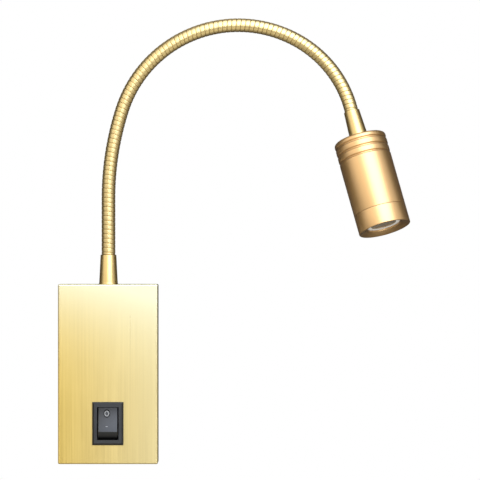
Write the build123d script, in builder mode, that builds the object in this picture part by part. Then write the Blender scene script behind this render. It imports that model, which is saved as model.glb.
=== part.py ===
"""Bedside wall reading lamp: a brushed brass box on the wall with a rocker switch, a bendable
gooseneck that rises from the box's top, and a small cylindrical LED head on its end.

Frame: millimetres, +Z up, the wall is the plane Y = 0, the lamp stands out from it towards -Y,
and the origin is the middle of the wall bracket's back face.
"""

import os
from math import acos, cos, degrees, radians, sin

from build123d import *

# ---------------------------------------------------------------- driving dimensions
# cover: a five-sided shell, open at the wall
cover_width = 50.0
cover_height = 90.0
cover_depth = 28.0
cover_wall = 1.2
cover_edge_radius = 0.7

# wall bracket: a pressed steel plate with one ear at each side for the cover's set screws
bracket_gap = 0.3
bracket_thickness = 1.2
bracket_corner_radius = 1.5
ear_thickness = 1.2
ear_length = 12.0
ear_reach = 13.0
ear_height = -9.0
wall_screw_margin = 7.5
wall_screw_hole_radius = 2.25

# cover set screws
set_screw_radius = 1.5
set_screw_length = 4.0
set_screw_depth = 9.0
set_screw_sunk = 0.2
hex_socket_width = 1.5
hex_socket_depth = 1.6

# supply cable entry
cable_entry_from_side = 10.0
cable_entry_rise = 18.0
grommet_bore_radius = 3.2
grommet_neck_radius = 4.9
grommet_flange_radius = 6.5
grommet_flange_thickness = 1.5

# rocker switch: snap-in housing with a bezel, tilting rocker, plunger, see-saw contact
switch_rise = 20.3
bezel_width = 15.6
bezel_height = 21.6
bezel_thickness = 1.8
bezel_chamfer = 0.9
housing_width = 13.0
housing_length = 19.2
housing_depth = 15.5
housing_floor = 1.5
housing_side_wall = 1.1
housing_end_wall = 0.65
rocker_opening_length = 16.4
bezel_lip = 0.5
rocker_width = 9.9
rocker_pivot_depth = 5.6
rocker_radius = 9.5
rocker_ridge_angle = 40.7
rocker_skirt_angle = 50.3
rocker_skirt_length = 5.7
rocker_dish = 0.9
rocker_tilt = 16.0
rocker_hub_radius = 2.2
pivot_pin_radius = 1.1
pivot_pin_reach = 0.9
pivot_clearance = 0.08
plunger_radius = 1.2
plunger_reach = 6.8
plunger_length = 4.0
plunger_clearance = 0.1
spring_radius = 1.1
spring_bore_radius = 0.75
spring_length = 4.4
bridge_length = 12.0
bridge_width = 4.0
bridge_thickness = 0.6
bridge_height = 7.3
bridge_tilt = 8.0
bridge_clearance = 0.2
tab_width = 4.8
tab_thickness = 0.8
tab_reach = 7.0
contact_offset = 6.4
slot_clearance = 0.05

# lamp driver
driver_side_room = 5.8
driver_height = 28.0
driver_depth = 17.0
driver_centre_height = 12.0
driver_wall = 1.2
driver_lid_thickness = 1.5
driver_flange_gap = 0.8
driver_board_thickness = 1.6
driver_board_gap = 0.4
driver_board_standoff = 3.0
transformer_size = (13.0, 12.0, 9.0)
transformer_place = (-6.0, 3.0)
capacitor_radius = 4.0
capacitor_length = 9.0
capacitor_place = (9.0, -4.0)
driver_screw_radius = 1.25
driver_screw_length = 2.7

# supply terminal block
terminal_from_side = 9.5
terminal_rise = 18.0
terminal_size = (13.0, 16.0, 10.0)
terminal_pitch = 6.0
terminal_screw_radius = 1.4
terminal_screw_depth = 4.0
terminal_wire_bore_radius = 1.3
terminal_wire_depth = 6.0

# earth screw
earth_from_side = 11.0
earth_rise = 32.5
earth_screw_radius = 2.0
earth_screw_length = 1.0

# pan head screws: head sizes as shares of the thread radius
pan_head_ratio = 1.9
pan_head_height_ratio = 1.0
pan_slot_ratio = 0.4

# ferrules: one at each end of the gooseneck, tapered, with a threaded tail
ferrule_length = 14.8
ferrule_foot_radius = 4.65
ferrule_top_radius = 3.95
ferrule_flare = 0.25
ferrule_flare_length = 0.8
ferrule_socket_depth = 9.0
ferrule_lead_bore_radius = 2.0
thread_radius = 4.0
lower_tail_length = 12.0
upper_tail_length = 7.0
thread_clearance = 0.1
nut_across_flats = 13.0
nut_thickness = 4.0
washer_radius = 6.6
washer_thickness = 0.8

# gooseneck: straight rise, gentle lean, round crown, then a drop that comes towards the room
arm_depth = 14.0
rise_length = 28.5
lean_radius = 146.5
lean_angle = 17.5
crown_radius = 61.3
crown_angle = 99.4
drop_radius = 54.1
drop_tail_length = 2.7
head_heading = -74.5
head_lean_forward = 14.0
hose_radius = 3.45
hose_groove_radius = 2.95
hose_bore_radius = 1.95
hose_groove_width = 0.4
hose_rib_shoulder = 0.3
section_count = 20
ribs_per_section = 5
joint_gap = 0.92
hose_fit = 0.05

# lamp lead: two-core lead from the driver through the gooseneck to the head
lead_radius = 1.4
lead_end_in_head = 21.0

# head: grooved cap, barrel and screw-on bezel, all turned to one diameter
head_radius = 13.2
cap_length = 10.5
cap_rear_chamfer = 1.4
cap_groove_pitch = 3.75
cap_groove_count = 3
cap_groove_depth = 0.6
cap_groove_width = 0.8
cap_land_round = 0.35
cap_spigot_length = 5.0
cap_spigot_wall = 2.4
barrel_length = 28.2
barrel_wall = 1.8
barrel_web_place = 20.0
barrel_web_thickness = 2.5
barrel_spigot_length = 5.3
barrel_spigot_wall = 1.4
screw_fit = 0.05
bezel_length = 9.5
bezel_mouth_radius = 12.6
bezel_throat_radius = 8.45
bezel_funnel_depth = 1.5
bezel_throat_thickness = 1.0
seam_chamfer = 0.15

# light source
pad_thickness = 0.3
board_radius = 10.0
board_thickness = 1.3
board_screw_circle = 7.6
board_screw_radius = 1.0
board_screw_length = 3.4
wire_hole_circle = 7.6
wire_radius = 0.55
wire_hole_radius = 0.8
emitter_width = 3.45
emitter_height = 0.8
dome_radius = 1.4
lens_flange_radius = 10.2
lens_flange_thickness = 1.2
lens_cone_radius = 9.4
lens_rear_radius = 4.8
lens_rear_gap = 0.6
lens_recess_radius = 2.8
lens_recess_depth = 4.2
lens_holder_wall = 0.7
part_clearance = 0.1

# internal leads
core_radius = 0.8
core_bend_radius = 2.5
core_depth = 8.5
tab_lead_rise = 4.6
tab_lead_bend_radius = 1.5

# places in the box, taken from its sides and its bottom edge
cover_side = cover_width / 2
cover_bottom = -cover_height / 2
cable_entry_place = (cable_entry_from_side - cover_side, cover_bottom + cable_entry_rise)
switch_height = cover_bottom + switch_rise
terminal_place = (cover_side - terminal_from_side, cover_bottom + terminal_rise)
earth_place = (earth_from_side - cover_side, cover_bottom + earth_rise)
driver_width = cover_width - 2 * (cover_wall + driver_side_room)
driver_flange = driver_side_room - driver_flange_gap


# ---------------------------------------------------------------- helpers
def facing_room(depth):
    """Plane parallel to the wall, `depth` in front of it: x is +X, y is +Z, normal is -Y."""
    return Plane.XZ.offset(depth)


def turning_plane(frame, offset=0.0):
    """Plane through a frame's axis: x is the radius, y is the height along the frame's z."""
    origin = frame.origin + frame.z_dir * offset
    return Plane(origin=origin, x_dir=frame.x_dir, z_dir=frame.y_dir * -1)


def turning_axis(frame):
    """The axis that a frame's turned pieces are turned about."""
    return Axis(frame.origin, frame.z_dir)


def bend_points(start, direction, side, radius, angle):
    """Start, middle and end of an arc that leaves along `direction` and bends to `side`."""
    centre = start + side * radius

    def on_arc(turn):
        return centre - side * (radius * cos(turn)) + direction * (radius * sin(turn))

    return on_arc(0), on_arc(radians(angle) / 2), on_arc(radians(angle))


def bend_direction(direction, side, angle):
    """The direction in which that arc ends."""
    turn = radians(angle)
    return direction * cos(turn) + side * sin(turn)


# ---------------------------------------------------------------- the gooseneck's centreline
up = Vector(0, 0, 1)
back = Vector(0, 1, 0)
hose_start = Vector(0, -arm_depth, cover_height / 2 + ferrule_length)
rise_end = hose_start + up * rise_length

lean_side = back.cross(up)
lean_points = bend_points(rise_end, up, lean_side, lean_radius, lean_angle)
lean_end_direction = bend_direction(up, lean_side, lean_angle)

crown_side = back.cross(lean_end_direction)
crown_points = bend_points(
    lean_points[2], lean_end_direction, crown_side, crown_radius, crown_angle
)
crown_end_direction = bend_direction(lean_end_direction, crown_side, crown_angle)

head_direction = Vector(
    cos(radians(head_heading)) * cos(radians(head_lean_forward)),
    -sin(radians(head_lean_forward)),
    sin(radians(head_heading)) * cos(radians(head_lean_forward)),
)
drop_angle = degrees(acos(crown_end_direction.dot(head_direction)))
drop_side = (
    head_direction - crown_end_direction * crown_end_direction.dot(head_direction)
).normalized()
drop_points = bend_points(
    crown_points[2], crown_end_direction, drop_side, drop_radius, drop_angle
)
hose_end = drop_points[2] + head_direction * drop_tail_length

with BuildLine() as centreline:
    Line(hose_start, rise_end)
    ThreePointArc(*lean_points)
    ThreePointArc(*crown_points)
    ThreePointArc(*drop_points)
    Line(drop_points[2], hose_end)

hose_path = centreline.wire()
hose_length = hose_path.length
section_length = hose_length / section_count


def steady_plane(origin, direction):
    """Plane square to `direction` whose x stays as near to the wall's normal as it can."""
    across = (back - direction * back.dot(direction)).normalized()
    return Plane(origin=origin, x_dir=across, z_dir=direction)


def station(length):
    """Plane square to the gooseneck, `length` along its free part from the lower ferrule."""
    if length <= 0:
        return steady_plane(hose_start + up * length, up)
    if length >= hose_length:
        beyond = length - hose_length
        return steady_plane(hose_end + head_direction * beyond, head_direction)
    origin = hose_path.position_at(length, position_mode=PositionMode.LENGTH)
    direction = hose_path.tangent_at(length, position_mode=PositionMode.LENGTH)
    return steady_plane(origin, direction)


# frames of the two ends: z is the axis, the origin is where each ferrule's foot sits
arm_frame = steady_plane(Vector(0, -arm_depth, cover_height / 2), up)
head_frame = steady_plane(hose_end + head_direction * ferrule_length, head_direction)
upper_ferrule_frame = steady_plane(head_frame.origin, head_direction * -1)


# ---------------------------------------------------------------- wall bracket
bracket_width = cover_width - 2 * (cover_wall + bracket_gap)
bracket_height = cover_height - 2 * (cover_wall + bracket_gap)
ear_offset = (bracket_width - ear_thickness) / 2
wall_screw_spacing = bracket_height - 2 * wall_screw_margin
wall_screw_places = [(0, wall_screw_spacing / 2), (0, -wall_screw_spacing / 2)]
driver_screw_offset = (driver_width + driver_flange) / 2
driver_screw_places = [
    (driver_screw_offset, driver_centre_height),
    (-driver_screw_offset, driver_centre_height),
]
set_screw_hole_radius = set_screw_radius + screw_fit

with BuildPart() as wall_bracket:
    with BuildSketch(facing_room(0)):
        RectangleRounded(bracket_width, bracket_height, bracket_corner_radius)
    extrude(amount=bracket_thickness)
    with BuildSketch(facing_room(bracket_thickness)):
        with Locations((ear_offset, ear_height), (-ear_offset, ear_height)):
            Rectangle(ear_thickness, ear_length)
    extrude(amount=ear_reach - bracket_thickness)
    with BuildSketch(facing_room(0)):
        with Locations(*wall_screw_places):
            Circle(wall_screw_hole_radius)
        with Locations(cable_entry_place):
            Circle(grommet_neck_radius + part_clearance)
        with Locations(*driver_screw_places):
            Circle(driver_screw_radius + screw_fit)
        with Locations(earth_place):
            Circle(earth_screw_radius + screw_fit)
    extrude(amount=bracket_thickness, mode=Mode.SUBTRACT)
    with BuildSketch(Plane.YZ):
        with Locations((-set_screw_depth, ear_height)):
            Circle(set_screw_hole_radius)
    extrude(amount=bracket_width, both=True, mode=Mode.SUBTRACT)
wall_bracket.part.label = "wall_bracket"


# ---------------------------------------------------------------- front cover
switch_cutout_width = housing_width + 2 * part_clearance
switch_cutout_length = housing_length + 2 * part_clearance

with BuildPart() as front_cover:
    with BuildSketch(facing_room(0)):
        Rectangle(cover_width, cover_height)
    extrude(amount=cover_depth)
    depth_edges = front_cover.edges().filter_by(Axis.Y)
    front_edges = front_cover.faces().sort_by(Axis.Y)[0].edges()
    fillet(depth_edges + front_edges, radius=cover_edge_radius)
    open_side = front_cover.faces().sort_by(Axis.Y)[-1]
    offset(amount=-cover_wall, openings=open_side)
    with BuildSketch(facing_room(cover_depth)):
        with Locations((0, switch_height)):
            Rectangle(switch_cutout_width, switch_cutout_length)
    extrude(amount=-2 * cover_wall, mode=Mode.SUBTRACT)
    with BuildSketch(arm_frame):
        Circle(thread_radius + thread_clearance)
    extrude(amount=-2 * cover_wall, mode=Mode.SUBTRACT)
    with BuildSketch(Plane.YZ):
        with Locations((-set_screw_depth, ear_height)):
            Circle(set_screw_radius + part_clearance)
    extrude(amount=cover_width, both=True, mode=Mode.SUBTRACT)
front_cover.part.label = "front_cover"

set_screw_planes = [
    Plane(
        origin=(side * (cover_width / 2 - set_screw_sunk), -set_screw_depth, ear_height),
        x_dir=(0, side, 0),
        z_dir=(side, 0, 0),
    )
    for side in (1, -1)
]
with BuildPart() as cover_screws:
    with BuildSketch(*set_screw_planes):
        Circle(set_screw_radius)
    extrude(amount=-set_screw_length)
    with BuildSketch(*set_screw_planes):
        RegularPolygon(hex_socket_width / 2, 6, major_radius=False)
    extrude(amount=-hex_socket_depth, mode=Mode.SUBTRACT)
cover_screws.part.label = "cover_screws"


# ---------------------------------------------------------------- supply entry and earth
with BuildPart() as cable_grommet:
    with BuildSketch(facing_room(0)):
        with Locations(cable_entry_place):
            Circle(grommet_neck_radius)
    extrude(amount=bracket_thickness)
    with BuildSketch(facing_room(bracket_thickness)):
        with Locations(cable_entry_place):
            Circle(grommet_flange_radius)
    extrude(amount=grommet_flange_thickness)
    fillet(
        cable_grommet.faces().sort_by(Axis.Y)[0].edges(),
        radius=grommet_flange_thickness / 3,
    )
    with BuildSketch(facing_room(0)):
        with Locations(cable_entry_place):
            Circle(grommet_bore_radius)
    extrude(
        amount=bracket_thickness + grommet_flange_thickness, mode=Mode.SUBTRACT
    )
cable_grommet.part.label = "cable_grommet"

earth_head_radius = earth_screw_radius * pan_head_ratio
earth_head_height = earth_screw_radius * pan_head_height_ratio
with BuildPart() as earth_screw:
    with BuildSketch(facing_room(bracket_thickness)):
        with Locations(earth_place):
            Circle(earth_head_radius)
    extrude(amount=earth_head_height)
    fillet(
        earth_screw.faces().sort_by(Axis.Y)[0].edges(), radius=earth_head_height / 3
    )
    with BuildSketch(facing_room(bracket_thickness)):
        with Locations(earth_place):
            Circle(earth_screw_radius)
    extrude(amount=-earth_screw_length)
    with BuildSketch(facing_room(bracket_thickness + earth_head_height)):
        with Locations(earth_place):
            Rectangle(2 * earth_head_radius, earth_screw_radius * pan_slot_ratio)
    extrude(amount=-earth_head_height / 2, mode=Mode.SUBTRACT)
earth_screw.part.label = "earth_screw"


# ---------------------------------------------------------------- terminal block
terminal_front = bracket_thickness + terminal_size[2]
terminal_columns = [
    terminal_place[0] - terminal_pitch / 2,
    terminal_place[0] + terminal_pitch / 2,
]
terminal_screw_row = terminal_size[1] / 4
terminal_screw_places = [
    (column, terminal_place[1] + row)
    for column in terminal_columns
    for row in (terminal_screw_row, -terminal_screw_row)
]
terminal_wire_height = bracket_thickness + terminal_size[2] / 2
terminal_screw_length = terminal_screw_depth - 0.5
terminal_end_planes = [
    Plane(
        origin=(column, -terminal_wire_height, terminal_place[1] + end * terminal_size[1] / 2),
        x_dir=(end, 0, 0),
        z_dir=(0, 0, end),
    )
    for column in terminal_columns
    for end in (1, -1)
]

with BuildPart() as terminal_block:
    with BuildSketch(facing_room(bracket_thickness)):
        with Locations(terminal_place):
            Rectangle(terminal_size[0], terminal_size[1])
    extrude(amount=terminal_size[2])
    chamfer(
        terminal_block.faces().sort_by(Axis.Y)[0].edges(), length=part_clearance * 5
    )
    with BuildSketch(facing_room(terminal_front)):
        with Locations(*terminal_screw_places):
            Circle(terminal_screw_radius + part_clearance)
    extrude(amount=-terminal_screw_depth, mode=Mode.SUBTRACT)
    with BuildSketch(*terminal_end_planes):
        Circle(terminal_wire_bore_radius)
    extrude(amount=-terminal_wire_depth, mode=Mode.SUBTRACT)
terminal_block.part.label = "terminal_block"

terminal_screw_face = facing_room(
    terminal_front - terminal_screw_depth + terminal_screw_length
)
with BuildPart() as terminal_screws:
    with BuildSketch(terminal_screw_face):
        with Locations(*terminal_screw_places):
            Circle(terminal_screw_radius)
    extrude(amount=-terminal_screw_length)
    with BuildSketch(terminal_screw_face):
        with Locations(*terminal_screw_places):
            Rectangle(3 * terminal_screw_radius, terminal_screw_radius * pan_slot_ratio)
    extrude(amount=-terminal_screw_length / 3, mode=Mode.SUBTRACT)
terminal_screws.part.label = "terminal_screws"


# ---------------------------------------------------------------- driver
driver_back = bracket_thickness + driver_lid_thickness
driver_front = bracket_thickness + driver_depth
driver_top = driver_centre_height + driver_height / 2
driver_bottom = driver_centre_height - driver_height / 2
driver_centre = (0, driver_centre_height)
board_back = driver_back + driver_board_standoff
board_front = board_back + driver_board_thickness
lead_hole_radius = lead_radius + part_clearance

with BuildPart() as driver_case:
    with BuildSketch(facing_room(driver_back)):
        with Locations(driver_centre):
            Rectangle(driver_width, driver_height)
    extrude(amount=driver_front - driver_back)
    fillet(
        driver_case.faces().sort_by(Axis.Y)[0].edges()
        + driver_case.edges().filter_by(Axis.Y),
        radius=driver_wall / 2,
    )
    driver_open_side = driver_case.faces().sort_by(Axis.Y)[-1]
    offset(amount=-driver_wall, openings=driver_open_side)
    with BuildSketch(Plane.XY.offset(driver_top)):
        with Locations((0, -arm_depth)):
            Circle(lead_hole_radius)
    extrude(amount=-2 * driver_wall, mode=Mode.SUBTRACT)
driver_case.part.label = "driver_case"

with BuildPart() as driver_lid:
    with BuildSketch(facing_room(bracket_thickness)):
        with Locations(driver_centre):
            Rectangle(driver_width, driver_height)
            Rectangle(driver_width + 2 * driver_flange, driver_height / 3)
        with Locations(*driver_screw_places):
            Circle(driver_screw_radius + part_clearance, mode=Mode.SUBTRACT)
    extrude(amount=driver_lid_thickness)
    with BuildSketch(facing_room(driver_back)):
        with Locations(driver_centre):
            Rectangle(
                driver_width - 2 * (driver_wall + part_clearance),
                driver_height - 2 * (driver_wall + part_clearance),
            )
            Rectangle(
                driver_width - 4 * driver_wall,
                driver_height - 4 * driver_wall,
                mode=Mode.SUBTRACT,
            )
    extrude(amount=driver_board_standoff)
driver_lid.part.label = "driver_lid"

with BuildPart() as driver_board:
    with BuildSketch(facing_room(board_back)):
        with Locations(driver_centre):
            Rectangle(
                driver_width - 2 * (driver_wall + driver_board_gap),
                driver_height - 2 * (driver_wall + driver_board_gap),
            )
    extrude(amount=driver_board_thickness)
driver_board.part.label = "driver_board"

with BuildPart() as driver_transformer:
    with BuildSketch(facing_room(board_front)):
        with Locations(
            (transformer_place[0], driver_centre_height + transformer_place[1])
        ):
            Rectangle(transformer_size[0], transformer_size[1])
    extrude(amount=transformer_size[2])
    chamfer(driver_transformer.edges().filter_by(Axis.Y), length=transformer_size[0] / 12)
driver_transformer.part.label = "driver_transformer"

with BuildPart() as driver_capacitor:
    with BuildSketch(facing_room(board_front)):
        with Locations(
            (capacitor_place[0], driver_centre_height + capacitor_place[1])
        ):
            Circle(capacitor_radius)
    extrude(amount=capacitor_length)
    fillet(driver_capacitor.faces().sort_by(Axis.Y)[0].edges(), radius=capacitor_radius / 8)
driver_capacitor.part.label = "driver_capacitor"

driver_head_radius = driver_screw_radius * pan_head_ratio - part_clearance
driver_head_height = driver_screw_radius * pan_head_height_ratio
with BuildPart() as driver_screws:
    with BuildSketch(facing_room(driver_back)):
        with Locations(*driver_screw_places):
            Circle(driver_head_radius)
    extrude(amount=driver_head_height)
    with BuildSketch(facing_room(driver_back)):
        with Locations(*driver_screw_places):
            Circle(driver_screw_radius)
    extrude(amount=-driver_screw_length)
    with BuildSketch(facing_room(driver_back + driver_head_height)):
        with Locations(*driver_screw_places):
            Rectangle(driver_screw_radius * pan_slot_ratio, 2 * driver_head_radius)
    extrude(amount=-driver_head_height / 2, mode=Mode.SUBTRACT)
driver_screws.part.label = "driver_screws"


# ---------------------------------------------------------------- rocker switch
bezel_front = cover_depth + bezel_thickness
pivot_depth = bezel_front - rocker_pivot_depth
housing_back = cover_depth - housing_depth
cavity_width = housing_width - 2 * housing_side_wall
cavity_length = housing_length - 2 * housing_end_wall
switch_centre = (0, switch_height)
pivot_point = Vector(0, -pivot_depth, switch_height)
bridge_bottom = bridge_height + bridge_thickness / 2
fulcrum_front = pivot_depth - bridge_bottom - bridge_clearance
contact_drop = (bridge_length / 2) * sin(radians(bridge_tilt))
contact_front = fulcrum_front - contact_drop
tab_back = housing_back - tab_reach
tab_places = [switch_height, switch_height + contact_offset]
tab_slot = (tab_width + 2 * slot_clearance, tab_thickness + 2 * slot_clearance)

with BuildPart() as switch_housing:
    with BuildSketch(facing_room(housing_back)):
        with Locations(switch_centre):
            Rectangle(housing_width, housing_length)
    extrude(amount=housing_depth)
    with BuildSketch(facing_room(cover_depth)):
        with Locations(switch_centre):
            Rectangle(bezel_width, bezel_height)
    extrude(amount=bezel_thickness)
    chamfer(
        switch_housing.faces().sort_by(Axis.Y)[0].edges(), length=bezel_chamfer
    )
    with BuildSketch(facing_room(bezel_front)):
        with Locations(switch_centre):
            Rectangle(cavity_width, rocker_opening_length)
    extrude(amount=-bezel_thickness, mode=Mode.SUBTRACT)
    with BuildSketch(facing_room(bezel_front - bezel_lip)):
        with Locations(switch_centre):
            Rectangle(cavity_width, cavity_length)
    extrude(
        amount=-(bezel_front - bezel_lip - housing_back - housing_floor),
        mode=Mode.SUBTRACT,
    )
    with BuildSketch(Plane.YZ):
        with Locations((-pivot_depth, switch_height)):
            Circle(pivot_pin_radius + pivot_clearance)
    extrude(amount=housing_width / 2, both=True, mode=Mode.SUBTRACT)
    with BuildSketch(facing_room(housing_back)):
        with Locations(*[(0, place) for place in tab_places]):
            Rectangle(*tab_slot)
    extrude(amount=housing_floor, mode=Mode.SUBTRACT)
switch_housing.part.label = "switch_housing"

# the rocker's own plane: x along its length, y out of its face, z along the pivot
rocker_plane = Plane(
    origin=pivot_point,
    x_dir=(0, sin(radians(rocker_tilt)), cos(radians(rocker_tilt))),
    z_dir=(1, 0, 0),
)

# the plunger's tip: x along the pivot, z out of the rocker's face
plunger_tip = Plane(
    origin=pivot_point - rocker_plane.y_dir * plunger_reach,
    x_dir=(1, 0, 0),
    z_dir=rocker_plane.y_dir,
)


def rocker_rim(angle):
    """Point on the circle that the rocker's ends follow, `angle` from its face's normal."""
    return (
        rocker_radius * sin(radians(angle)),
        rocker_radius * cos(radians(angle)),
    )


ridge = rocker_rim(rocker_ridge_angle)
end_middle = rocker_rim((rocker_ridge_angle + rocker_skirt_angle) / 2)
skirt_top = rocker_rim(rocker_skirt_angle)
skirt_foot = (
    skirt_top[0] + rocker_skirt_length * sin(radians(rocker_tilt)),
    skirt_top[1] - rocker_skirt_length * cos(radians(rocker_tilt)),
)
dish_middle = (0, ridge[1] - rocker_dish)

with BuildPart() as switch_rocker:
    with BuildSketch(rocker_plane):
        with BuildLine():
            ThreePointArc((-ridge[0], ridge[1]), dish_middle, ridge)
            ThreePointArc(ridge, end_middle, skirt_top)
            Polyline(
                skirt_top,
                skirt_foot,
                (-skirt_foot[0], skirt_foot[1]),
                (-skirt_top[0], skirt_top[1]),
            )
            ThreePointArc(
                (-skirt_top[0], skirt_top[1]),
                (-end_middle[0], end_middle[1]),
                (-ridge[0], ridge[1]),
            )
        make_face()
        Circle(rocker_hub_radius)
    extrude(amount=rocker_width / 2, both=True)
    with BuildSketch(rocker_plane):
        Circle(pivot_pin_radius)
    extrude(amount=rocker_width / 2 + pivot_pin_reach, both=True)
    with BuildSketch(plunger_tip):
        Circle(plunger_radius + plunger_clearance)
    extrude(amount=plunger_length + spring_length, mode=Mode.SUBTRACT)
switch_rocker.part.label = "switch_rocker"

with BuildPart() as switch_plunger:
    with BuildSketch(plunger_tip):
        Circle(plunger_radius)
    extrude(amount=plunger_length)
    tip_edge = switch_plunger.edges().sort_by(Axis(plunger_tip.origin, plunger_tip.z_dir))[0]
    fillet(tip_edge, radius=plunger_radius * 0.8)
switch_plunger.part.label = "switch_plunger"

with BuildPart() as switch_spring:
    with BuildSketch(plunger_tip.offset(plunger_length)):
        Circle(spring_radius)
        Circle(spring_bore_radius, mode=Mode.SUBTRACT)
    extrude(amount=spring_length)
switch_spring.part.label = "switch_spring"

# the see-saw contact: x along its length, z towards the room
bridge_plane = Plane(
    origin=pivot_point + Vector(0, bridge_height, 0),
    x_dir=(0, -sin(radians(bridge_tilt)), cos(radians(bridge_tilt))),
    z_dir=(0, -cos(radians(bridge_tilt)), -sin(radians(bridge_tilt))),
)
with BuildPart() as switch_contact:
    with BuildSketch(bridge_plane.offset(-bridge_thickness / 2)):
        Rectangle(bridge_length, bridge_width)
    extrude(amount=bridge_thickness)
    fillet(
        switch_contact.edges().filter_by(lambda edge: abs(edge.length - bridge_thickness) < 1e-6),
        radius=bridge_width / 6,
    )
switch_contact.part.label = "switch_contact"

with BuildPart() as switch_terminals:
    with BuildSketch(facing_room(tab_back)):
        with Locations((0, tab_places[0])):
            Rectangle(tab_width, tab_thickness)
    extrude(amount=fulcrum_front - tab_back)
    with BuildSketch(facing_room(tab_back)):
        with Locations((0, tab_places[1])):
            Rectangle(tab_width, tab_thickness)
    extrude(amount=contact_front - tab_back)
switch_terminals.part.label = "switch_terminals"


# ---------------------------------------------------------------- internal leads
live_column, neutral_column = terminal_columns
terminal_lead_start = terminal_place[1] + terminal_size[1] / 2 - terminal_wire_depth
tab_side = tab_width / 2
upper_tab = tab_places[1]
lead_turn_height = upper_tab + tab_lead_rise
live_drop = (tab_side + live_column) / 2
neutral_entry = driver_width / 4
switched_entry = -driver_width / 5
neutral_turn_height = (lead_turn_height + driver_bottom) / 2

live_route = [
    (live_column, -terminal_wire_height, terminal_lead_start),
    (live_column, -terminal_wire_height, lead_turn_height),
    (live_drop, -core_depth, lead_turn_height),
    (live_drop, -core_depth, upper_tab),
    (tab_side, -core_depth, upper_tab),
]
neutral_route = [
    (neutral_column, -terminal_wire_height, terminal_lead_start),
    (neutral_column, -terminal_wire_height, neutral_turn_height),
    (neutral_entry, -core_depth, neutral_turn_height),
    (neutral_entry, -core_depth, driver_bottom),
]
switched_route = [
    (-tab_side, -core_depth, tab_places[0]),
    (switched_entry, -core_depth, tab_places[0]),
    (switched_entry, -core_depth, driver_bottom),
]

with BuildPart() as mains_leads:
    for route, bend in (
        (live_route, tab_lead_bend_radius),
        (neutral_route, core_bend_radius),
        (switched_route, core_bend_radius),
    ):
        with BuildLine() as lead_line:
            FilletPolyline(*route, radius=bend)
        with BuildSketch(
            Plane(origin=lead_line.line @ 0, z_dir=lead_line.line % 0)
        ):
            Circle(core_radius)
        sweep(path=lead_line.line)
mains_leads.part.label = "mains_leads"


# ---------------------------------------------------------------- ferrules, nut and washer
socket_radius = hose_groove_radius + hose_fit


def ferrule_profile(tail_length):
    """Half section of a ferrule: foot at height 0, hose socket at the top, tail below."""
    return [
        (ferrule_lead_bore_radius, -tail_length),
        (thread_radius, -tail_length),
        (thread_radius, 0),
        (ferrule_foot_radius + ferrule_flare, 0),
        (ferrule_foot_radius, ferrule_flare_length),
        (ferrule_top_radius, ferrule_length),
        (socket_radius, ferrule_length),
        (socket_radius, ferrule_length - ferrule_socket_depth),
        (ferrule_lead_bore_radius, ferrule_length - ferrule_socket_depth),
    ]


with BuildPart() as lower_ferrule:
    with BuildSketch(turning_plane(arm_frame)):
        Polygon(*ferrule_profile(lower_tail_length))
    revolve(axis=turning_axis(arm_frame))
lower_ferrule.part.label = "lower_ferrule"

with BuildPart() as upper_ferrule:
    with BuildSketch(turning_plane(upper_ferrule_frame)):
        Polygon(*ferrule_profile(upper_tail_length))
    revolve(axis=turning_axis(upper_ferrule_frame))
upper_ferrule.part.label = "upper_ferrule"

under_cover = arm_frame.offset(-cover_wall)
with BuildPart() as lock_washer:
    with BuildSketch(under_cover):
        Circle(washer_radius)
        Circle(thread_radius + thread_clearance, mode=Mode.SUBTRACT)
    extrude(amount=-washer_thickness)
lock_washer.part.label = "lock_washer"

under_washer = under_cover.offset(-washer_thickness)
with BuildPart() as arm_nut:
    with BuildSketch(under_washer):
        RegularPolygon(nut_across_flats / 2, 6, major_radius=False)
        Circle(thread_radius + screw_fit, mode=Mode.SUBTRACT)
    extrude(amount=-nut_thickness)
arm_nut.part.label = "arm_nut"


# ---------------------------------------------------------------- gooseneck sections
rib_pitch = section_length / ribs_per_section
half_gap = joint_gap / 2


def rib_rings(section):
    """Stations and radii of one section's rings: each rib has a foot, two shoulders, a foot."""
    start = section * section_length
    rings = []
    if section == 0:
        rings.append((start - ferrule_socket_depth, hose_groove_radius))
    for rib in range(ribs_per_section):
        low = start + rib * rib_pitch + hose_groove_width / 2
        high = start + (rib + 1) * rib_pitch - hose_groove_width / 2
        if rib == 0 and section > 0:
            low = start + half_gap
        if rib == ribs_per_section - 1 and section < section_count - 1:
            high = start + section_length - half_gap
        rings.append((low, hose_groove_radius))
        rings.append((low + hose_rib_shoulder, hose_radius))
        rings.append((high - hose_rib_shoulder, hose_radius))
        rings.append((high, hose_groove_radius))
    if section == section_count - 1:
        rings.append((start + section_length + ferrule_socket_depth, hose_groove_radius))
    return rings


gooseneck_sections = []
for section in range(section_count):
    rings = rib_rings(section)
    with BuildPart() as gooseneck_section:
        for place, radius in rings:
            with BuildSketch(station(place)):
                Circle(radius)
        loft(ruled=True)
        for place, radius in rings:
            with BuildSketch(station(place)):
                Circle(hose_bore_radius)
        loft(ruled=True, mode=Mode.SUBTRACT)
    gooseneck_section.part.label = f"gooseneck_{section + 1:02d}"
    gooseneck_sections.append(gooseneck_section.part)


# ---------------------------------------------------------------- head: cap, barrel, bezel
def groove_profile(height):
    """Corners of one round-shouldered groove in the cap's outside, deepest at `height`."""
    half = cap_groove_width / 2
    return [
        (head_radius, height - half - cap_land_round),
        (head_radius - cap_land_round, height - half),
        (head_radius - cap_groove_depth, height - half / 2),
        (head_radius - cap_groove_depth, height + half / 2),
        (head_radius - cap_land_round, height + half),
        (head_radius, height + half + cap_land_round),
    ]


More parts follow.
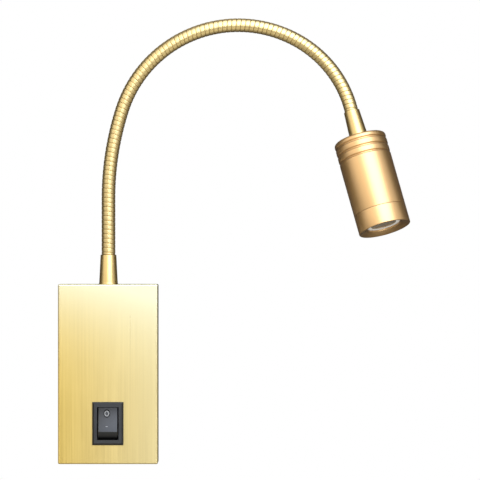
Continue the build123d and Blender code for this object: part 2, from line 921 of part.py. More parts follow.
barrel_inner_radius = head_radius - barrel_wall
spigot_radius = barrel_inner_radius - screw_fit
spigot_bore_radius = spigot_radius - cap_spigot_wall
cap_bore_radius = thread_radius + screw_fit
first_groove = cap_length - cap_groove_pitch * (cap_groove_count - 1)
cap_outline = [
    (cap_bore_radius, 0),
    (head_radius - cap_rear_chamfer, 0),
    (head_radius, cap_rear_chamfer),
]
for groove in range(cap_groove_count - 1):
    cap_outline += groove_profile(first_groove + groove * cap_groove_pitch)
cap_outline += [
    (head_radius, cap_length - cap_groove_width / 2 - cap_land_round),
    (head_radius - cap_land_round, cap_length - cap_groove_width / 2),
    (head_radius - cap_groove_depth, cap_length - cap_groove_width / 4),
    (head_radius - cap_groove_depth, cap_length),
    (spigot_radius, cap_length),
    (spigot_radius, cap_length + cap_spigot_length),
    (spigot_bore_radius, cap_length + cap_spigot_length),
    (spigot_bore_radius, cap_length),
    (cap_bore_radius, cap_length),
]

with BuildPart() as head_cap:
    with BuildSketch(turning_plane(head_frame)):
        Polygon(*cap_outline)
    revolve(axis=turning_axis(head_frame))
head_cap.part.label = "head_cap"

web_back = cap_length + barrel_web_place
web_front = web_back + barrel_web_thickness
seam_height = cap_length + barrel_length
mouth_height = seam_height + bezel_length
front_spigot_radius = barrel_inner_radius + barrel_wall / 2 - screw_fit
front_bore_radius = front_spigot_radius - barrel_spigot_wall
barrel_outline = [
    (barrel_inner_radius, cap_length),
    (head_radius - cap_groove_depth, cap_length),
    (head_radius - cap_groove_depth, cap_length + cap_groove_width / 4),
    (head_radius - cap_land_round, cap_length + cap_groove_width / 2),
    (head_radius, cap_length + cap_groove_width / 2 + cap_land_round),
    (head_radius, seam_height - seam_chamfer),
    (head_radius - seam_chamfer, seam_height),
    (front_spigot_radius, seam_height),
    (front_spigot_radius, seam_height + barrel_spigot_length),
    (front_bore_radius, seam_height + barrel_spigot_length),
    (front_bore_radius, web_front),
    (0, web_front),
    (0, web_back),
    (barrel_inner_radius, web_back),
]
board_screw_places = [(board_screw_circle, 0), (-board_screw_circle, 0)]
wire_places = [(0, wire_hole_circle), (0, -wire_hole_circle)]

with BuildPart() as head_barrel:
    with BuildSketch(turning_plane(head_frame)):
        Polygon(*barrel_outline)
    revolve(axis=turning_axis(head_frame))
    with BuildSketch(head_frame.offset(web_back)):
        with Locations(*board_screw_places):
            Circle(board_screw_radius + screw_fit)
        with Locations(*wire_places):
            Circle(wire_hole_radius)
    extrude(amount=barrel_web_thickness, mode=Mode.SUBTRACT)
head_barrel.part.label = "head_barrel"

throat_height = mouth_height - bezel_funnel_depth
bezel_seat_height = throat_height - bezel_throat_thickness
bezel_bore_radius = front_spigot_radius + screw_fit
bezel_outline = [
    (bezel_bore_radius, seam_height + part_clearance / 2),
    (head_radius - seam_chamfer, seam_height + part_clearance / 2),
    (head_radius, seam_height + part_clearance / 2 + seam_chamfer),
    (head_radius, mouth_height - seam_chamfer),
    (head_radius - seam_chamfer, mouth_height),
    (bezel_mouth_radius, mouth_height),
    (bezel_throat_radius, throat_height),
    (bezel_throat_radius, bezel_seat_height),
    (bezel_bore_radius, bezel_seat_height),
]

with BuildPart() as head_bezel:
    with BuildSketch(turning_plane(head_frame)):
        Polygon(*bezel_outline)
    revolve(axis=turning_axis(head_frame))
head_bezel.part.label = "head_bezel"


# ---------------------------------------------------------------- light source and optics
board_back_height = web_front + pad_thickness
board_top_height = board_back_height + board_thickness
lens_front_height = bezel_seat_height
lens_flange_height = lens_front_height - lens_flange_thickness
lens_rear_height = board_top_height + lens_rear_gap
holder_outer_radius = front_bore_radius - part_clearance

with BuildPart() as thermal_pad:
    with BuildSketch(head_frame.offset(web_front)):
        Circle(board_radius)
        with Locations(*board_screw_places):
            Circle(board_screw_radius + part_clearance, mode=Mode.SUBTRACT)
        with Locations(*wire_places):
            Circle(wire_hole_radius, mode=Mode.SUBTRACT)
    extrude(amount=pad_thickness)
thermal_pad.part.label = "thermal_pad"

with BuildPart() as led_board:
    with BuildSketch(head_frame.offset(board_back_height)):
        Circle(board_radius)
        with Locations(*board_screw_places):
            Circle(board_screw_radius + part_clearance, mode=Mode.SUBTRACT)
        with Locations(*wire_places):
            Circle(wire_hole_radius, mode=Mode.SUBTRACT)
    extrude(amount=board_thickness)
led_board.part.label = "led_board"

with BuildPart() as led_emitter:
    with BuildSketch(head_frame.offset(board_top_height)):
        Rectangle(emitter_width, emitter_width)
    extrude(amount=emitter_height)
    with BuildSketch(turning_plane(head_frame, board_top_height + emitter_height)):
        with BuildLine():
            Line((0, 0), (dome_radius, 0))
            ThreePointArc(
                (dome_radius, 0),
                (dome_radius * cos(radians(45)), dome_radius * sin(radians(45))),
                (0, dome_radius),
            )
            Line((0, dome_radius), (0, 0))
        make_face()
    revolve(axis=turning_axis(head_frame))
led_emitter.part.label = "led_emitter"

board_head_radius = board_screw_radius * pan_head_ratio - part_clearance
board_head_height = board_screw_radius * pan_head_height_ratio
with BuildPart() as board_screws:
    with BuildSketch(head_frame.offset(board_top_height)):
        with Locations(*board_screw_places):
            Circle(board_head_radius)
    extrude(amount=board_head_height)
    with BuildSketch(head_frame.offset(board_top_height)):
        with Locations(*board_screw_places):
            Circle(board_screw_radius)
    extrude(amount=-board_screw_length)
    with BuildSketch(head_frame.offset(board_top_height + board_head_height)):
        with Locations(*board_screw_places):
            Rectangle(board_screw_radius * pan_slot_ratio, 2 * board_head_radius)
    extrude(amount=-board_head_height / 2, mode=Mode.SUBTRACT)
board_screws.part.label = "board_screws"

with BuildPart() as lens_holder:
    with BuildSketch(head_frame.offset(board_top_height)):
        Circle(holder_outer_radius)
        Circle(holder_outer_radius - lens_holder_wall, mode=Mode.SUBTRACT)
    extrude(amount=lens_flange_height - board_top_height)
lens_holder.part.label = "lens_holder"

lens_outline = [
    (0, lens_front_height),
    (lens_flange_radius, lens_front_height),
    (lens_flange_radius, lens_flange_height),
    (lens_cone_radius, lens_flange_height),
    (lens_rear_radius, lens_rear_height),
    (lens_recess_radius, lens_rear_height),
    (lens_recess_radius, lens_rear_height + lens_recess_depth),
    (0, lens_rear_height + lens_recess_depth),
]
with BuildPart() as lens:
    with BuildSketch(turning_plane(head_frame)):
        Polygon(*lens_outline)
    revolve(axis=turning_axis(head_frame))
lens.part.label = "lens"


# ---------------------------------------------------------------- lamp lead
lead_start = Vector(0, -arm_depth, driver_top - driver_wall)
lead_end = head_frame.origin + head_direction * lead_end_in_head

with BuildPart() as lamp_lead:
    with BuildLine() as lead_path:
        Line(lead_start, rise_end)
        ThreePointArc(*lean_points)
        ThreePointArc(*crown_points)
        ThreePointArc(*drop_points)
        Line(drop_points[2], lead_end)
    with BuildSketch(Plane(origin=lead_start, x_dir=(0, 1, 0), z_dir=(0, 0, 1))):
        Circle(lead_radius)
    sweep(path=lead_path.line)
lamp_lead.part.label = "lamp_lead"

wire_spread_height = (lead_end_in_head + web_back) / 2
wire_start = lead_radius / 2
with BuildPart() as led_wires:
    for side in (1, -1):
        wire_route = [
            head_frame.from_local_coords((0, side * wire_start, lead_end_in_head)),
            head_frame.from_local_coords((0, side * wire_start, lead_end_in_head + 1)),
            head_frame.from_local_coords((0, side * wire_hole_circle, wire_spread_height)),
            head_frame.from_local_coords((0, side * wire_hole_circle, board_top_height)),
        ]
        with BuildLine() as wire_line:
            FilletPolyline(*wire_route, radius=wire_radius * 1.5)
        with BuildSketch(
            Plane(origin=wire_line.line @ 0, z_dir=wire_line.line % 0)
        ):
            Circle(wire_radius)
        sweep(path=wire_line.line)
led_wires.part.label = "led_wires"


# ---------------------------------------------------------------- export
pieces = [
    wall_bracket.part,
    front_cover.part,
    cover_screws.part,
    cable_grommet.part,
    earth_screw.part,
    terminal_block.part,
    terminal_screws.part,
    driver_case.part,
    driver_lid.part,
    driver_board.part,
    driver_transformer.part,
    driver_capacitor.part,
    driver_screws.part,
    switch_housing.part,
    switch_rocker.part,
    switch_plunger.part,
    switch_spring.part,
    switch_contact.part,
    switch_terminals.part,
    mains_leads.part,
    lower_ferrule.part,
    lock_washer.part,
    arm_nut.part,
    *gooseneck_sections,
    lamp_lead.part,
    upper_ferrule.part,
    head_cap.part,
    head_barrel.part,
    head_bezel.part,
    thermal_pad.part,
    led_board.part,
    led_emitter.part,
    board_screws.part,
    lens_holder.part,
    lens.part,
    led_wires.part,
]

os.makedirs("parts", exist_ok=True)
for piece in pieces:
    export_step(piece, f"parts/{piece.label}.step")

print(f"gooseneck: {hose_length:.1f} mm free, {section_length:.2f} mm a section")
print(f"lamp lead: {lead_path.wire().length:.1f} mm, volume {lamp_lead.part.volume:.1f} mm3")
print(
    f"lamp lead bends: {lean_radius:.1f}, {crown_radius:.1f}, {drop_radius:.1f} mm"
)
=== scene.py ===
import logging
import math
from dataclasses import dataclass
from enum import Enum
from functools import cache

import bmesh
import bpy
import numpy as np
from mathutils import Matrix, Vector


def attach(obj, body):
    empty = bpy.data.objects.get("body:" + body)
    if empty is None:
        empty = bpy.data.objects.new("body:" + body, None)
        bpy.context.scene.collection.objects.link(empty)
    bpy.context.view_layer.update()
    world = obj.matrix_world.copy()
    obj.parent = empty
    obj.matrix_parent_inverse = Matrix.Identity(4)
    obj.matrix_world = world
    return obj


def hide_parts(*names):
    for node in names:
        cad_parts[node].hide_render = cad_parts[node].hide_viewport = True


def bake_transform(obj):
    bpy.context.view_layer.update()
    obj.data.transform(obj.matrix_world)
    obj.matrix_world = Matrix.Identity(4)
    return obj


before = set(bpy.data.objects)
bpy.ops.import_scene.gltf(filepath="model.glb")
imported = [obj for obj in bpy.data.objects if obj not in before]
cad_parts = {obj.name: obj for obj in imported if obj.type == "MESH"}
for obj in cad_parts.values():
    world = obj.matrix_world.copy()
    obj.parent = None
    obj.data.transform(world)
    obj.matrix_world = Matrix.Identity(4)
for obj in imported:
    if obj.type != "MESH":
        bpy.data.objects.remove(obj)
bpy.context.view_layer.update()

# The classes hold lengths in millimetres and angles in degrees, where nothing else is said.
MM = 0.001
ACROSS, TO_WALL, UP = np.eye(3)
log = logging.getLogger("reading_lamp")

Array = np.ndarray
Colour = tuple[float, float, float, float]
Corners = list[tuple[float, float, float]]
Material = bpy.types.Material
Socket = bpy.types.NodeSocket
Tree = bpy.types.NodeTree


# ---- small tools
def to_linear(code: str) -> Colour:
    """Turn an sRGB hex colour into Blender's linear colour.

    Args:
        code: six hex digits, such as "DDBF72".

    Returns:
        Red, green, blue and alpha, each from 0 to 1, linear.
    """
    parts = np.array([int(code[i:i + 2], 16) for i in (0, 2, 4)]) / 255.0
    linear = np.where(parts <= 0.04045, parts / 12.92, ((parts + 0.055) / 1.055) ** 2.4)
    return (*(float(value) for value in linear), 1.0)


def add_node(tree: Tree, kind: str, settings: dict | None = None,
             inputs: dict | None = None) -> bpy.types.Node:
    """Add a shader node with its settings, its values and its links.

    Args:
        tree: the material's or world's node tree.
        kind: the node's type name.
        settings: attributes to set on the node.
        inputs: a value or an output socket for each named or numbered input.

    Returns:
        The new node.
    """
    node = tree.nodes.new(kind)
    for name, value in (settings or {}).items():
        setattr(node, name, value)
    for name, value in (inputs or {}).items():
        if isinstance(value, Socket):
            tree.links.new(value, node.inputs[name])
        else:
            node.inputs[name].default_value = value
    return node


def remap(tree: Tree, value: Socket, low: float, high: float, to_low: float = 0.0,
          to_high: float = 1.0) -> Socket:
    """The value carried from low..high to to_low..to_high, and held within them."""
    return add_node(tree, "ShaderNodeMapRange", None,
                    {"Value": value, "From Min": low, "From Max": high, "To Min": to_low,
                     "To Max": to_high}).outputs[0]


def multiply_add(tree: Tree, value: Socket, factor: float, added: Socket | float) -> Socket:
    """value * factor + added, held between 0 and 1."""
    return add_node(tree, "ShaderNodeMath", {"operation": "MULTIPLY_ADD", "use_clamp": True},
                    {0: value, 1: factor, 2: added}).outputs[0]


def mixed(tree: Tree, share: Socket, low: Socket | Colour, high: Colour) -> Socket:
    """The colour that lies at a share of the way from low to high."""
    return add_node(tree, "ShaderNodeMix", {"data_type": "RGBA"},
                    {"Factor": share, 6: low, 7: high}).outputs[2]


def linked(name: str, data: bpy.types.ID) -> bpy.types.Object:
    """Make an object and link it into the scene.

    Args:
        name: the object's name.
        data: its mesh, lamp or camera.

    Returns:
        The new object.
    """
    made = bpy.data.objects.new(name, data)
    bpy.context.scene.collection.objects.link(made)
    return made


def unit(vectors: Array) -> Array:
    """Each row divided by its length."""
    return vectors / np.linalg.norm(vectors, axis=-1, keepdims=True)


def spokes(first: Array, second: Array, around: int) -> Array:
    """Unit arms cos a * first + sin a * second, at even angles a round each frame.

    Args:
        first: the frames' first cross vectors, a row for each or just one.
        second: their second cross vectors, the same shape.
        around: arms for each frame.

    Returns:
        The arms, with one more dimension before the last.
    """
    angle = np.arange(around) * (2 * np.pi / around)
    return (np.cos(angle)[:, None] * first[..., None, :]
            + np.sin(angle)[:, None] * second[..., None, :])


# ---- finishes
# A grain's scale is a length in millimetres. Brushing, spangle and eroded textures are finer
# than a pixel in life, and are drawn as coarse as they need to be to show. Turned rings and
# the hose's plating keep about their real 0.1 to 0.2 mm.
SCRATCH_STRETCH = 90.0
RING_STRETCH = 0.4
CLOUDS_PER_METRE = 55.0
CLOUD_SHARE, GRAIN_SHARE = 0.45, 0.55
COLOUR_BAND, GLOSS_BAND = (0.3, 0.7), (0.25, 0.75)


class Grain(Enum):
    """How a surface was made, which sets the pattern that its material draws."""

    BRUSHED = "brushed upright, long fine scratches"
    TURNED = "turned on a lathe, fine rings round the piece"
    WOUND = "wound and plated strip"
    PLATED = "barrel plated, faint cloudy grain"
    MOULDED = "moulded against a spark-eroded steel face"
    POLISHED = "polished or cast smooth"


@dataclass(frozen=True)
class Finish:
    """One finish: its colours, gloss and grain, with every length in millimetres."""

    name: str
    colour: str
    shade: str
    grain: Grain
    metallic: float = 0.0
    roughness: float = 0.4
    roughness_spread: float = 0.08
    grain_mm: float = 0.5
    bump_mm: float = 0.004
    coat: float = 0.0
    coat_roughness: float = 0.1
    coat_ior: float = 1.5
    anisotropy: float = 0.0
    edge_tint: str = "FFFFFF"
    ior: float = 1.5
    transmission: float = 0.0
    fade_mm: tuple[float, float] | None = None
    painted_sheen_colour: str = "FFFFFF"
    fade_power: float = 4.0
    fade_up: float = 0.8
    fade_across: float = 0.45

    @cache
    def material(self) -> Material:
        """Make the finish's material, once.

        The colour runs between the finish's two tones by a noise at the grain's scale
        over a broad cloud, and the roughness and the bump follow the same grain. A
        turned piece takes its grain from the height in its own UV map, so the rings run
        round it. A finish with a fade drifts to a third tone, a painted sheen, by the share
        up * ((z + half height) / height) ^ power + across * (x + half width) / width.

        Returns:
            The material.
        """
        material = bpy.data.materials.new(self.name)
        material.use_nodes = True
        tree = material.node_tree
        tree.nodes.clear()
        place = add_node(tree, "ShaderNodeTexCoord")
        grains = 1.0 / (self.grain_mm * MM)
        source, scale = place.outputs["Object"], (grains, grains, grains)
        if self.grain is Grain.TURNED:
            source, scale = place.outputs["UV"], (RING_STRETCH, grains, 1.0)
        elif self.grain is Grain.BRUSHED:
            scale = grains, grains, grains / SCRATCH_STRETCH
        stretched = add_node(tree, "ShaderNodeVectorMath", {"operation": "MULTIPLY"},
                             {0: source, 1: scale})
        fine = add_node(tree, "ShaderNodeTexNoise", None,
                        {"Vector": stretched.outputs[0], "Scale": 1.0, "Detail": 4.0,
                         "Roughness": 0.6}).outputs[0]
        cloud = add_node(tree, "ShaderNodeTexNoise", None,
                         {"Vector": place.outputs["Object"], "Scale": CLOUDS_PER_METRE,
                          "Detail": 2.0}).outputs[0]
        share = multiply_add(tree, remap(tree, fine, *COLOUR_BAND), GRAIN_SHARE,
                             multiply_add(tree, cloud, CLOUD_SHARE, 0.0))
        colour = mixed(tree, share, to_linear(self.shade), to_linear(self.colour))
        # Painted sheen: the colour pales towards the top and the right, where lit brass would
        # mirror the lamps.
        if self.fade_mm is not None:
            parted = add_node(tree, "ShaderNodeSeparateXYZ", None,
                              {0: place.outputs["Object"]})
            half_width, half_height = (half * MM for half in self.fade_mm)
            aside = remap(tree, parted.outputs["X"], -half_width, half_width, 0.0,
                          self.fade_across)
            rise = add_node(tree, "ShaderNodeMath", {"operation": "POWER"},
                            {0: remap(tree, parted.outputs["Z"], -half_height, half_height),
                             1: self.fade_power}).outputs[0]
            colour = mixed(tree, multiply_add(tree, rise, self.fade_up, aside), colour,
                           to_linear(self.painted_sheen_colour))
        bump = add_node(tree, "ShaderNodeBump", None,
                        {"Height": fine, "Strength": 1.0, "Distance": self.bump_mm * MM})
        inputs = {"Base Color": colour, "Metallic": self.metallic,
                  "Roughness": remap(tree, fine, *GLOSS_BAND,
                                     self.roughness - self.roughness_spread,
                                     self.roughness + self.roughness_spread),
                  "Normal": bump.outputs[0], "Specular Tint": to_linear(self.edge_tint),
                  "Coat Weight": self.coat, "Coat Roughness": self.coat_roughness,
                  "Coat IOR": self.coat_ior, "Transmission Weight": self.transmission}
        if not self.metallic:
            inputs["IOR"] = self.ior
        if self.anisotropy:
            upright = add_node(tree, "ShaderNodeTangent",
                               {"direction_type": "RADIAL", "axis": "Z"})
            inputs |= {"Tangent": upright.outputs[0], "Anisotropic": self.anisotropy}
        surface = add_node(tree, "ShaderNodeBsdfPrincipled", None, inputs)
        add_node(tree, "ShaderNodeOutputMaterial", None, {"Surface": surface.outputs[0]})
        return material


# Brass sheet, brushed upright and sealed with satin lacquer: pale and soft, the scratches
# draw each highlight out sideways. They are under 0.1 mm apart in life, here 0.9 mm.
# Its drift to a pale tone towards the top and the right is a painted highlight.
COVER_BRASS = Finish("brushed_brass", "CAAF62", "B3984C", Grain.BRUSHED, 1.0, 0.34, 0.07,
                     0.90, 0.0030, coat=0.15, coat_roughness=0.3, anisotropy=0.5,
                     edge_tint="3A2C14", fade_mm=(25.0, 45.0), painted_sheen_colour="CAC4A2")
# Aluminium, turned, bead blasted and anodised gold: a soft broad highlight on warm tan.
HEAD_GOLD = Finish("anodised_gold_aluminium", "C9A168", "BF965B", Grain.TURNED, 1.0, 0.40,
                   0.04, 0.12, 0.0004, coat=0.85, coat_roughness=0.32, coat_ior=1.65,
                   edge_tint="1E1206")
# The same plating on the small ferrules, a little greener and glossier.
FERRULE_GOLD = Finish("plated_ferrule_gold", "C8AD6E", "BBA062", Grain.TURNED, 1.0, 0.34,
                      0.04, 0.12, 0.0003, coat=0.6, coat_roughness=0.32, coat_ior=1.65,
                      edge_tint="1A1408")
# Steel strip wound into a hose and brass plated: bright crests, olive edges.
HOSE_BRASS = Finish("plated_hose_brass", "C6B077", "BBA267", Grain.WOUND, 1.0, 0.38, 0.05,
                    0.20, 0.0004, coat=0.65, coat_roughness=0.32, coat_ior=1.65,
                    edge_tint="141006")
# Pressed steel, zinc plated: cool grey with a faint cloudy spangle.
ZINC_STEEL = Finish("zinc_plated_steel", "C3C6C9", "A9ADB2", Grain.PLATED, 1.0, 0.38, 0.10,
                    1.6, 0.002)
# Stamped brass strip in the switch and its tabs: warm yellow and bright, lightly clouded.
CONTACT_BRASS = Finish("stamped_brass", "D9B36A", "C49C55", Grain.PLATED, 1.0, 0.3, 0.08,
                       0.8, 0.001)
# Moulded nylon of the switch: black, with a fine spark-eroded sheen.
SWITCH_BLACK = Finish("moulded_black_nylon", "17181A", "0D0E0F", Grain.MOULDED, 0.0, 0.40,
                      0.07, 0.16, 0.0025, ior=1.47)
# Pad-printed ink: flat and greyish white. The dead-black ring round it is painted shade,
# standing in for the shadow in an engraved groove.
MARK_INK = Finish("printed_white_ink", "AEB0B2", "9A9C9F", Grain.MOULDED, 0.0, 0.45, 0.05,
                  0.1, 0.0005, ior=1.48)
GROOVE_SHADE = Finish("painted_groove_shade", "050506", "020203", Grain.MOULDED, 0.0, 0.85, 0.05,
                  0.1, 0.0005, ior=1.2)
# Moulded rubber: black and dull, almost without a highlight.
GROMMET_RUBBER = Finish("black_rubber", "1B1B1A", "121211", Grain.MOULDED, 0.0, 0.7, 0.06,
                        0.35, 0.004, ior=1.52)
# Moulded nylon in its own colour: milky cream and waxy.
TERMINAL_NYLON = Finish("natural_nylon", "E4E1D3", "D5D1C0", Grain.MOULDED, 0.0, 0.42, 0.05,
                        0.4, 0.003, ior=1.53)
# Moulded polycarbonate: clean white with a fine texture.
DRIVER_WHITE = Finish("moulded_white_polycarbonate", "EEEEE9", "E1E1DB", Grain.MOULDED, 0.0,
                      0.5, 0.06, 0.35, 0.004, ior=1.58)
# Lacquer over copper: deep green and glossy.
BOARD_GREEN = Finish("green_solder_mask", "1E6B3C", "175630", Grain.POLISHED, 0.0, 0.3, 0.04,
                     1.2, 0.001, ior=1.55)
# Tape round the winding: strong yellow, smooth.
TRANSFORMER_TAPE = Finish("yellow_polyester_tape", "D8B63C", "C5A22E", Grain.POLISHED, 0.0,
                          0.35, 0.06, 0.9, 0.004, ior=1.6)
# A drawn can: bright cool metal, lightly clouded.
CAN_ALUMINIUM = Finish("drawn_aluminium_can", "C9CBCE", "B4B7BB", Grain.PLATED, 1.0, 0.3,
                       0.06, 0.5, 0.001)
# Extruded PVC: black, with a soft sheen.
LEAD_BLACK = Finish("black_pvc_sheath", "1A1A1B", "111112", Grain.MOULDED, 0.0, 0.45, 0.06,
                    0.3, 0.002, ior=1.54)
# The cores inside it: warm brown, a little glossier.
CORE_PVC = Finish("brown_pvc_core", "6E3320", "5B2818", Grain.MOULDED, 0.0, 0.4, 0.05, 0.3,
                  0.002, ior=1.54)
# Filled silicone: flat mid grey.
PAD_SILICONE = Finish("grey_silicone_pad", "8E9194", "7E8184", Grain.MOULDED, 0.0, 0.75,
                      0.05, 0.3, 0.003, ior=1.43)
# White lacquer on aluminium: plain and bright.
LED_BOARD_WHITE = Finish("white_solder_mask", "ECECEA", "DEDEDB", Grain.POLISHED, 0.0, 0.3,
                         0.04, 0.8, 0.001, ior=1.55)
# Phosphor under clear silicone: warm yellow with a wet gloss.
PHOSPHOR = Finish("yellow_phosphor", "E8C65A", "D9B548", Grain.POLISHED, 0.0, 0.25, 0.04,
                  0.3, 0.001, ior=1.41)
# A moulded holder: ivory and satin.
HOLDER_WHITE = Finish("moulded_lens_holder", "CFC8B8", "BDB6A6", Grain.MOULDED, 0.0, 0.4,
                      0.05, 0.3, 0.002, ior=1.58)
# The lens's moulded edge, pale as a painted glint, which shows round the dim middle of the lens.
LENS_GLINT = Finish("painted_glint_lens_edge", "F6F5F1", "EDEBE4", Grain.MOULDED, 0.0, 0.4, 0.05,
                   0.3, 0.002, ior=1.58)
# Moulded acrylic: polished, with a milky warm grey body that spreads the light.
LENS_ACRYLIC = Finish("milky_acrylic", "B8AA92", "AA9C84", Grain.POLISHED, 0.0, 0.06, 0.02,
                      2.0, 0.0002, ior=1.49, transmission=0.45)


# ---- surfaces
@dataclass
class Skin:
    """A closed surface as whole arrays: points, four-sided faces and corner normals."""

    points: Array
    faces: Array
    normals: Array | None = None
    uv: Array | None = None

    def piece(self, name: str, material: Material,
              sharp_degrees: float = 40.0) -> bpy.types.Object:
        """Make the Blender object, with its place in its mesh.

        Points that share one place, as at a pole, become one.

        Args:
            name: the object's name.
            material: its only material.
            sharp_degrees: edges that turn by more stay sharp, where the skin has no
                normals of its own.

        Returns:
            The new object, linked into the scene.
        """
        mesh = bpy.data.meshes.new(name)
        count = len(self.faces)
        mesh.vertices.add(len(self.points))
        mesh.vertices.foreach_set("co", self.points.astype(np.float32).ravel())
        mesh.loops.add(count * 4)
        mesh.loops.foreach_set("vertex_index", self.faces.astype(np.int32).ravel())
        mesh.polygons.add(count)
        mesh.polygons.foreach_set("loop_start", np.arange(0, count * 4, 4, dtype=np.int32))
        mesh.polygons.foreach_set("use_smooth", np.ones(count, dtype=bool))
        if self.uv is not None:
            layer = mesh.uv_layers.new(name="surface")
            layer.uv.foreach_set("vector", self.uv.astype(np.float32).ravel())
        mesh.update(calc_edges=True)
        if self.normals is None:
            joined = bmesh.new()
            joined.from_mesh(mesh)
            bmesh.ops.remove_doubles(joined, verts=joined.verts, dist=1e-7)
            joined.to_mesh(mesh)
            joined.free()
        mesh.validate()
        if self.normals is not None:
            mesh.normals_split_custom_set(self.normals.reshape(-1, 3).tolist())
        else:
            mesh.set_sharp_from_angle(angle=math.radians(sharp_degrees))
        mesh.materials.append(material)
        return linked(name, mesh)


def grid_faces(rows: int, columns: int, wrap_columns: bool = True,
               wrap_rows: bool = False) -> Array:
    """Faces of a grid of points, row after row.

    Args:
        rows: points along the first way.
        columns: points along the second way.
        wrap_columns: join the last column to the first.
        wrap_rows: join the last row to the first.

    Returns:
        An array of four point numbers for each face, turning from column to row.
    """
    i = np.arange(rows if wrap_rows else rows - 1)
    j = np.arange(columns if wrap_columns else columns - 1)
    i, j = np.meshgrid(i, j, indexing="ij")
    k, m = (i + 1) % rows, (j + 1) % columns
    return np.stack([i * columns + j, i * columns + m, k * columns + m, k * columns + j],
                    axis=-1).reshape(-1, 4)


def rounded_corners(corners: Corners, steps: int = 4) -> Array:
    """Round the corners of a closed outline, each with its own radius.

    At each corner an arc of the given radius touches both sides. Its points are the arc's
    centre plus the radius in directions that turn evenly from one side's outward normal
    to the other's.

    Args:
        corners: x, y and radius of each corner, in millimetres; 0 keeps it sharp.
        steps: spans in each rounded corner.

    Returns:
        The outline's points, in millimetres; one at the axis lies exactly on it.
    """
    table = np.array(corners, float)
    here, radius = table[:, :2], table[:, 2]
    before, after = unit(here - np.roll(here, 1, 0)), unit(np.roll(here, -1, 0) - here)
    cross = before[:, 0] * after[:, 1] - before[:, 1] * after[:, 0]
    turn = np.arctan2(cross, (before * after).sum(1))
    reach = radius * np.abs(np.tan(turn / 2))
    side = np.sign(turn)[:, None]
    inward = np.stack([-before[:, 1], before[:, 0]], 1) * side
    centre = here - before * reach[:, None] + inward * radius[:, None]
    share = np.linspace(0, 1, steps + 1)
    angle = turn[:, None] * share
    c, s = np.cos(angle)[..., None], np.sin(angle)[..., None]
    arm = -inward[:, None, :] * radius[:, None, None]
    turned = np.stack([-arm[..., 1], arm[..., 0]], -1)
    arcs = centre[:, None, :] + arm * c + turned * s
    made = np.concatenate([arcs[n] if radius[n] > 0 else here[n:n + 1]
                           for n in range(len(here))])
    made[np.abs(made[:, 0]) < 1e-6, 0] = 0.0
    return made


@dataclass
class Axle:
    """A line that turned pieces are turned about, not square to the wall."""

    UV_RADIUS = 0.012

    origin: Array
    along: Array

    def across(self) -> tuple[Array, Array]:
        """Two unit vectors square to the axle, the second a quarter turn on."""
        first = unit(TO_WALL - self.along * (TO_WALL @ self.along))
        return first, np.cross(self.along, first)

    def turned(self, outline: Array, around: int = 144) -> Skin:
        """Turn a closed outline about the axle.

        A point at radius r and height h goes to origin + h * along
        + r * (cos a * first + sin a * second), for a from 0 to a full turn. The UV is the
        arc length at one radius and the length along the outline, in metres.

        Args:
            outline: radius and height of each point, in millimetres, counter-clockwise
                in the plane of radius and height.
            around: faces round the piece.

        Returns:
            The closed skin.
        """
        points = outline * MM
        edge = np.linalg.norm(np.diff(points, axis=0, append=points[:1]), axis=1)
        length = np.concatenate([[0], np.cumsum(edge)])
        places = (self.origin + points[:, None, 1:2] * self.along
                  + points[:, None, 0:1] * spokes(*self.across(), around))
        rows = len(points)
        faces = grid_faces(rows, around, wrap_rows=True)
        i, j = np.meshgrid(np.arange(rows), np.arange(around), indexing="ij")
        u = np.stack([j, j + 1, j + 1, j], -1) * (2 * np.pi / around) * self.UV_RADIUS
        v = np.stack([length[i], length[i], length[i + 1], length[i + 1]], -1)
        uv = np.stack([u, v], -1).reshape(-1, 2)
        return Skin(places.reshape(-1, 3), faces, None, uv)


def ride(piece: bpy.types.Object, body: str, slot: str, *nodes: str) -> bpy.types.Object:
    """Fix a piece to its body and hide the CAD nodes that it stands for.

    Args:
        piece: the finished object.
        body: the CAD body that carries it.
        slot: the record's material slot; not used.
        nodes: the CAD nodes that it replaces.

    Returns:
        The same object.
    """
    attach(piece, body)
    if nodes:
        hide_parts(*nodes)
    log.info("%s rides on %s", piece.name, body)
    return piece


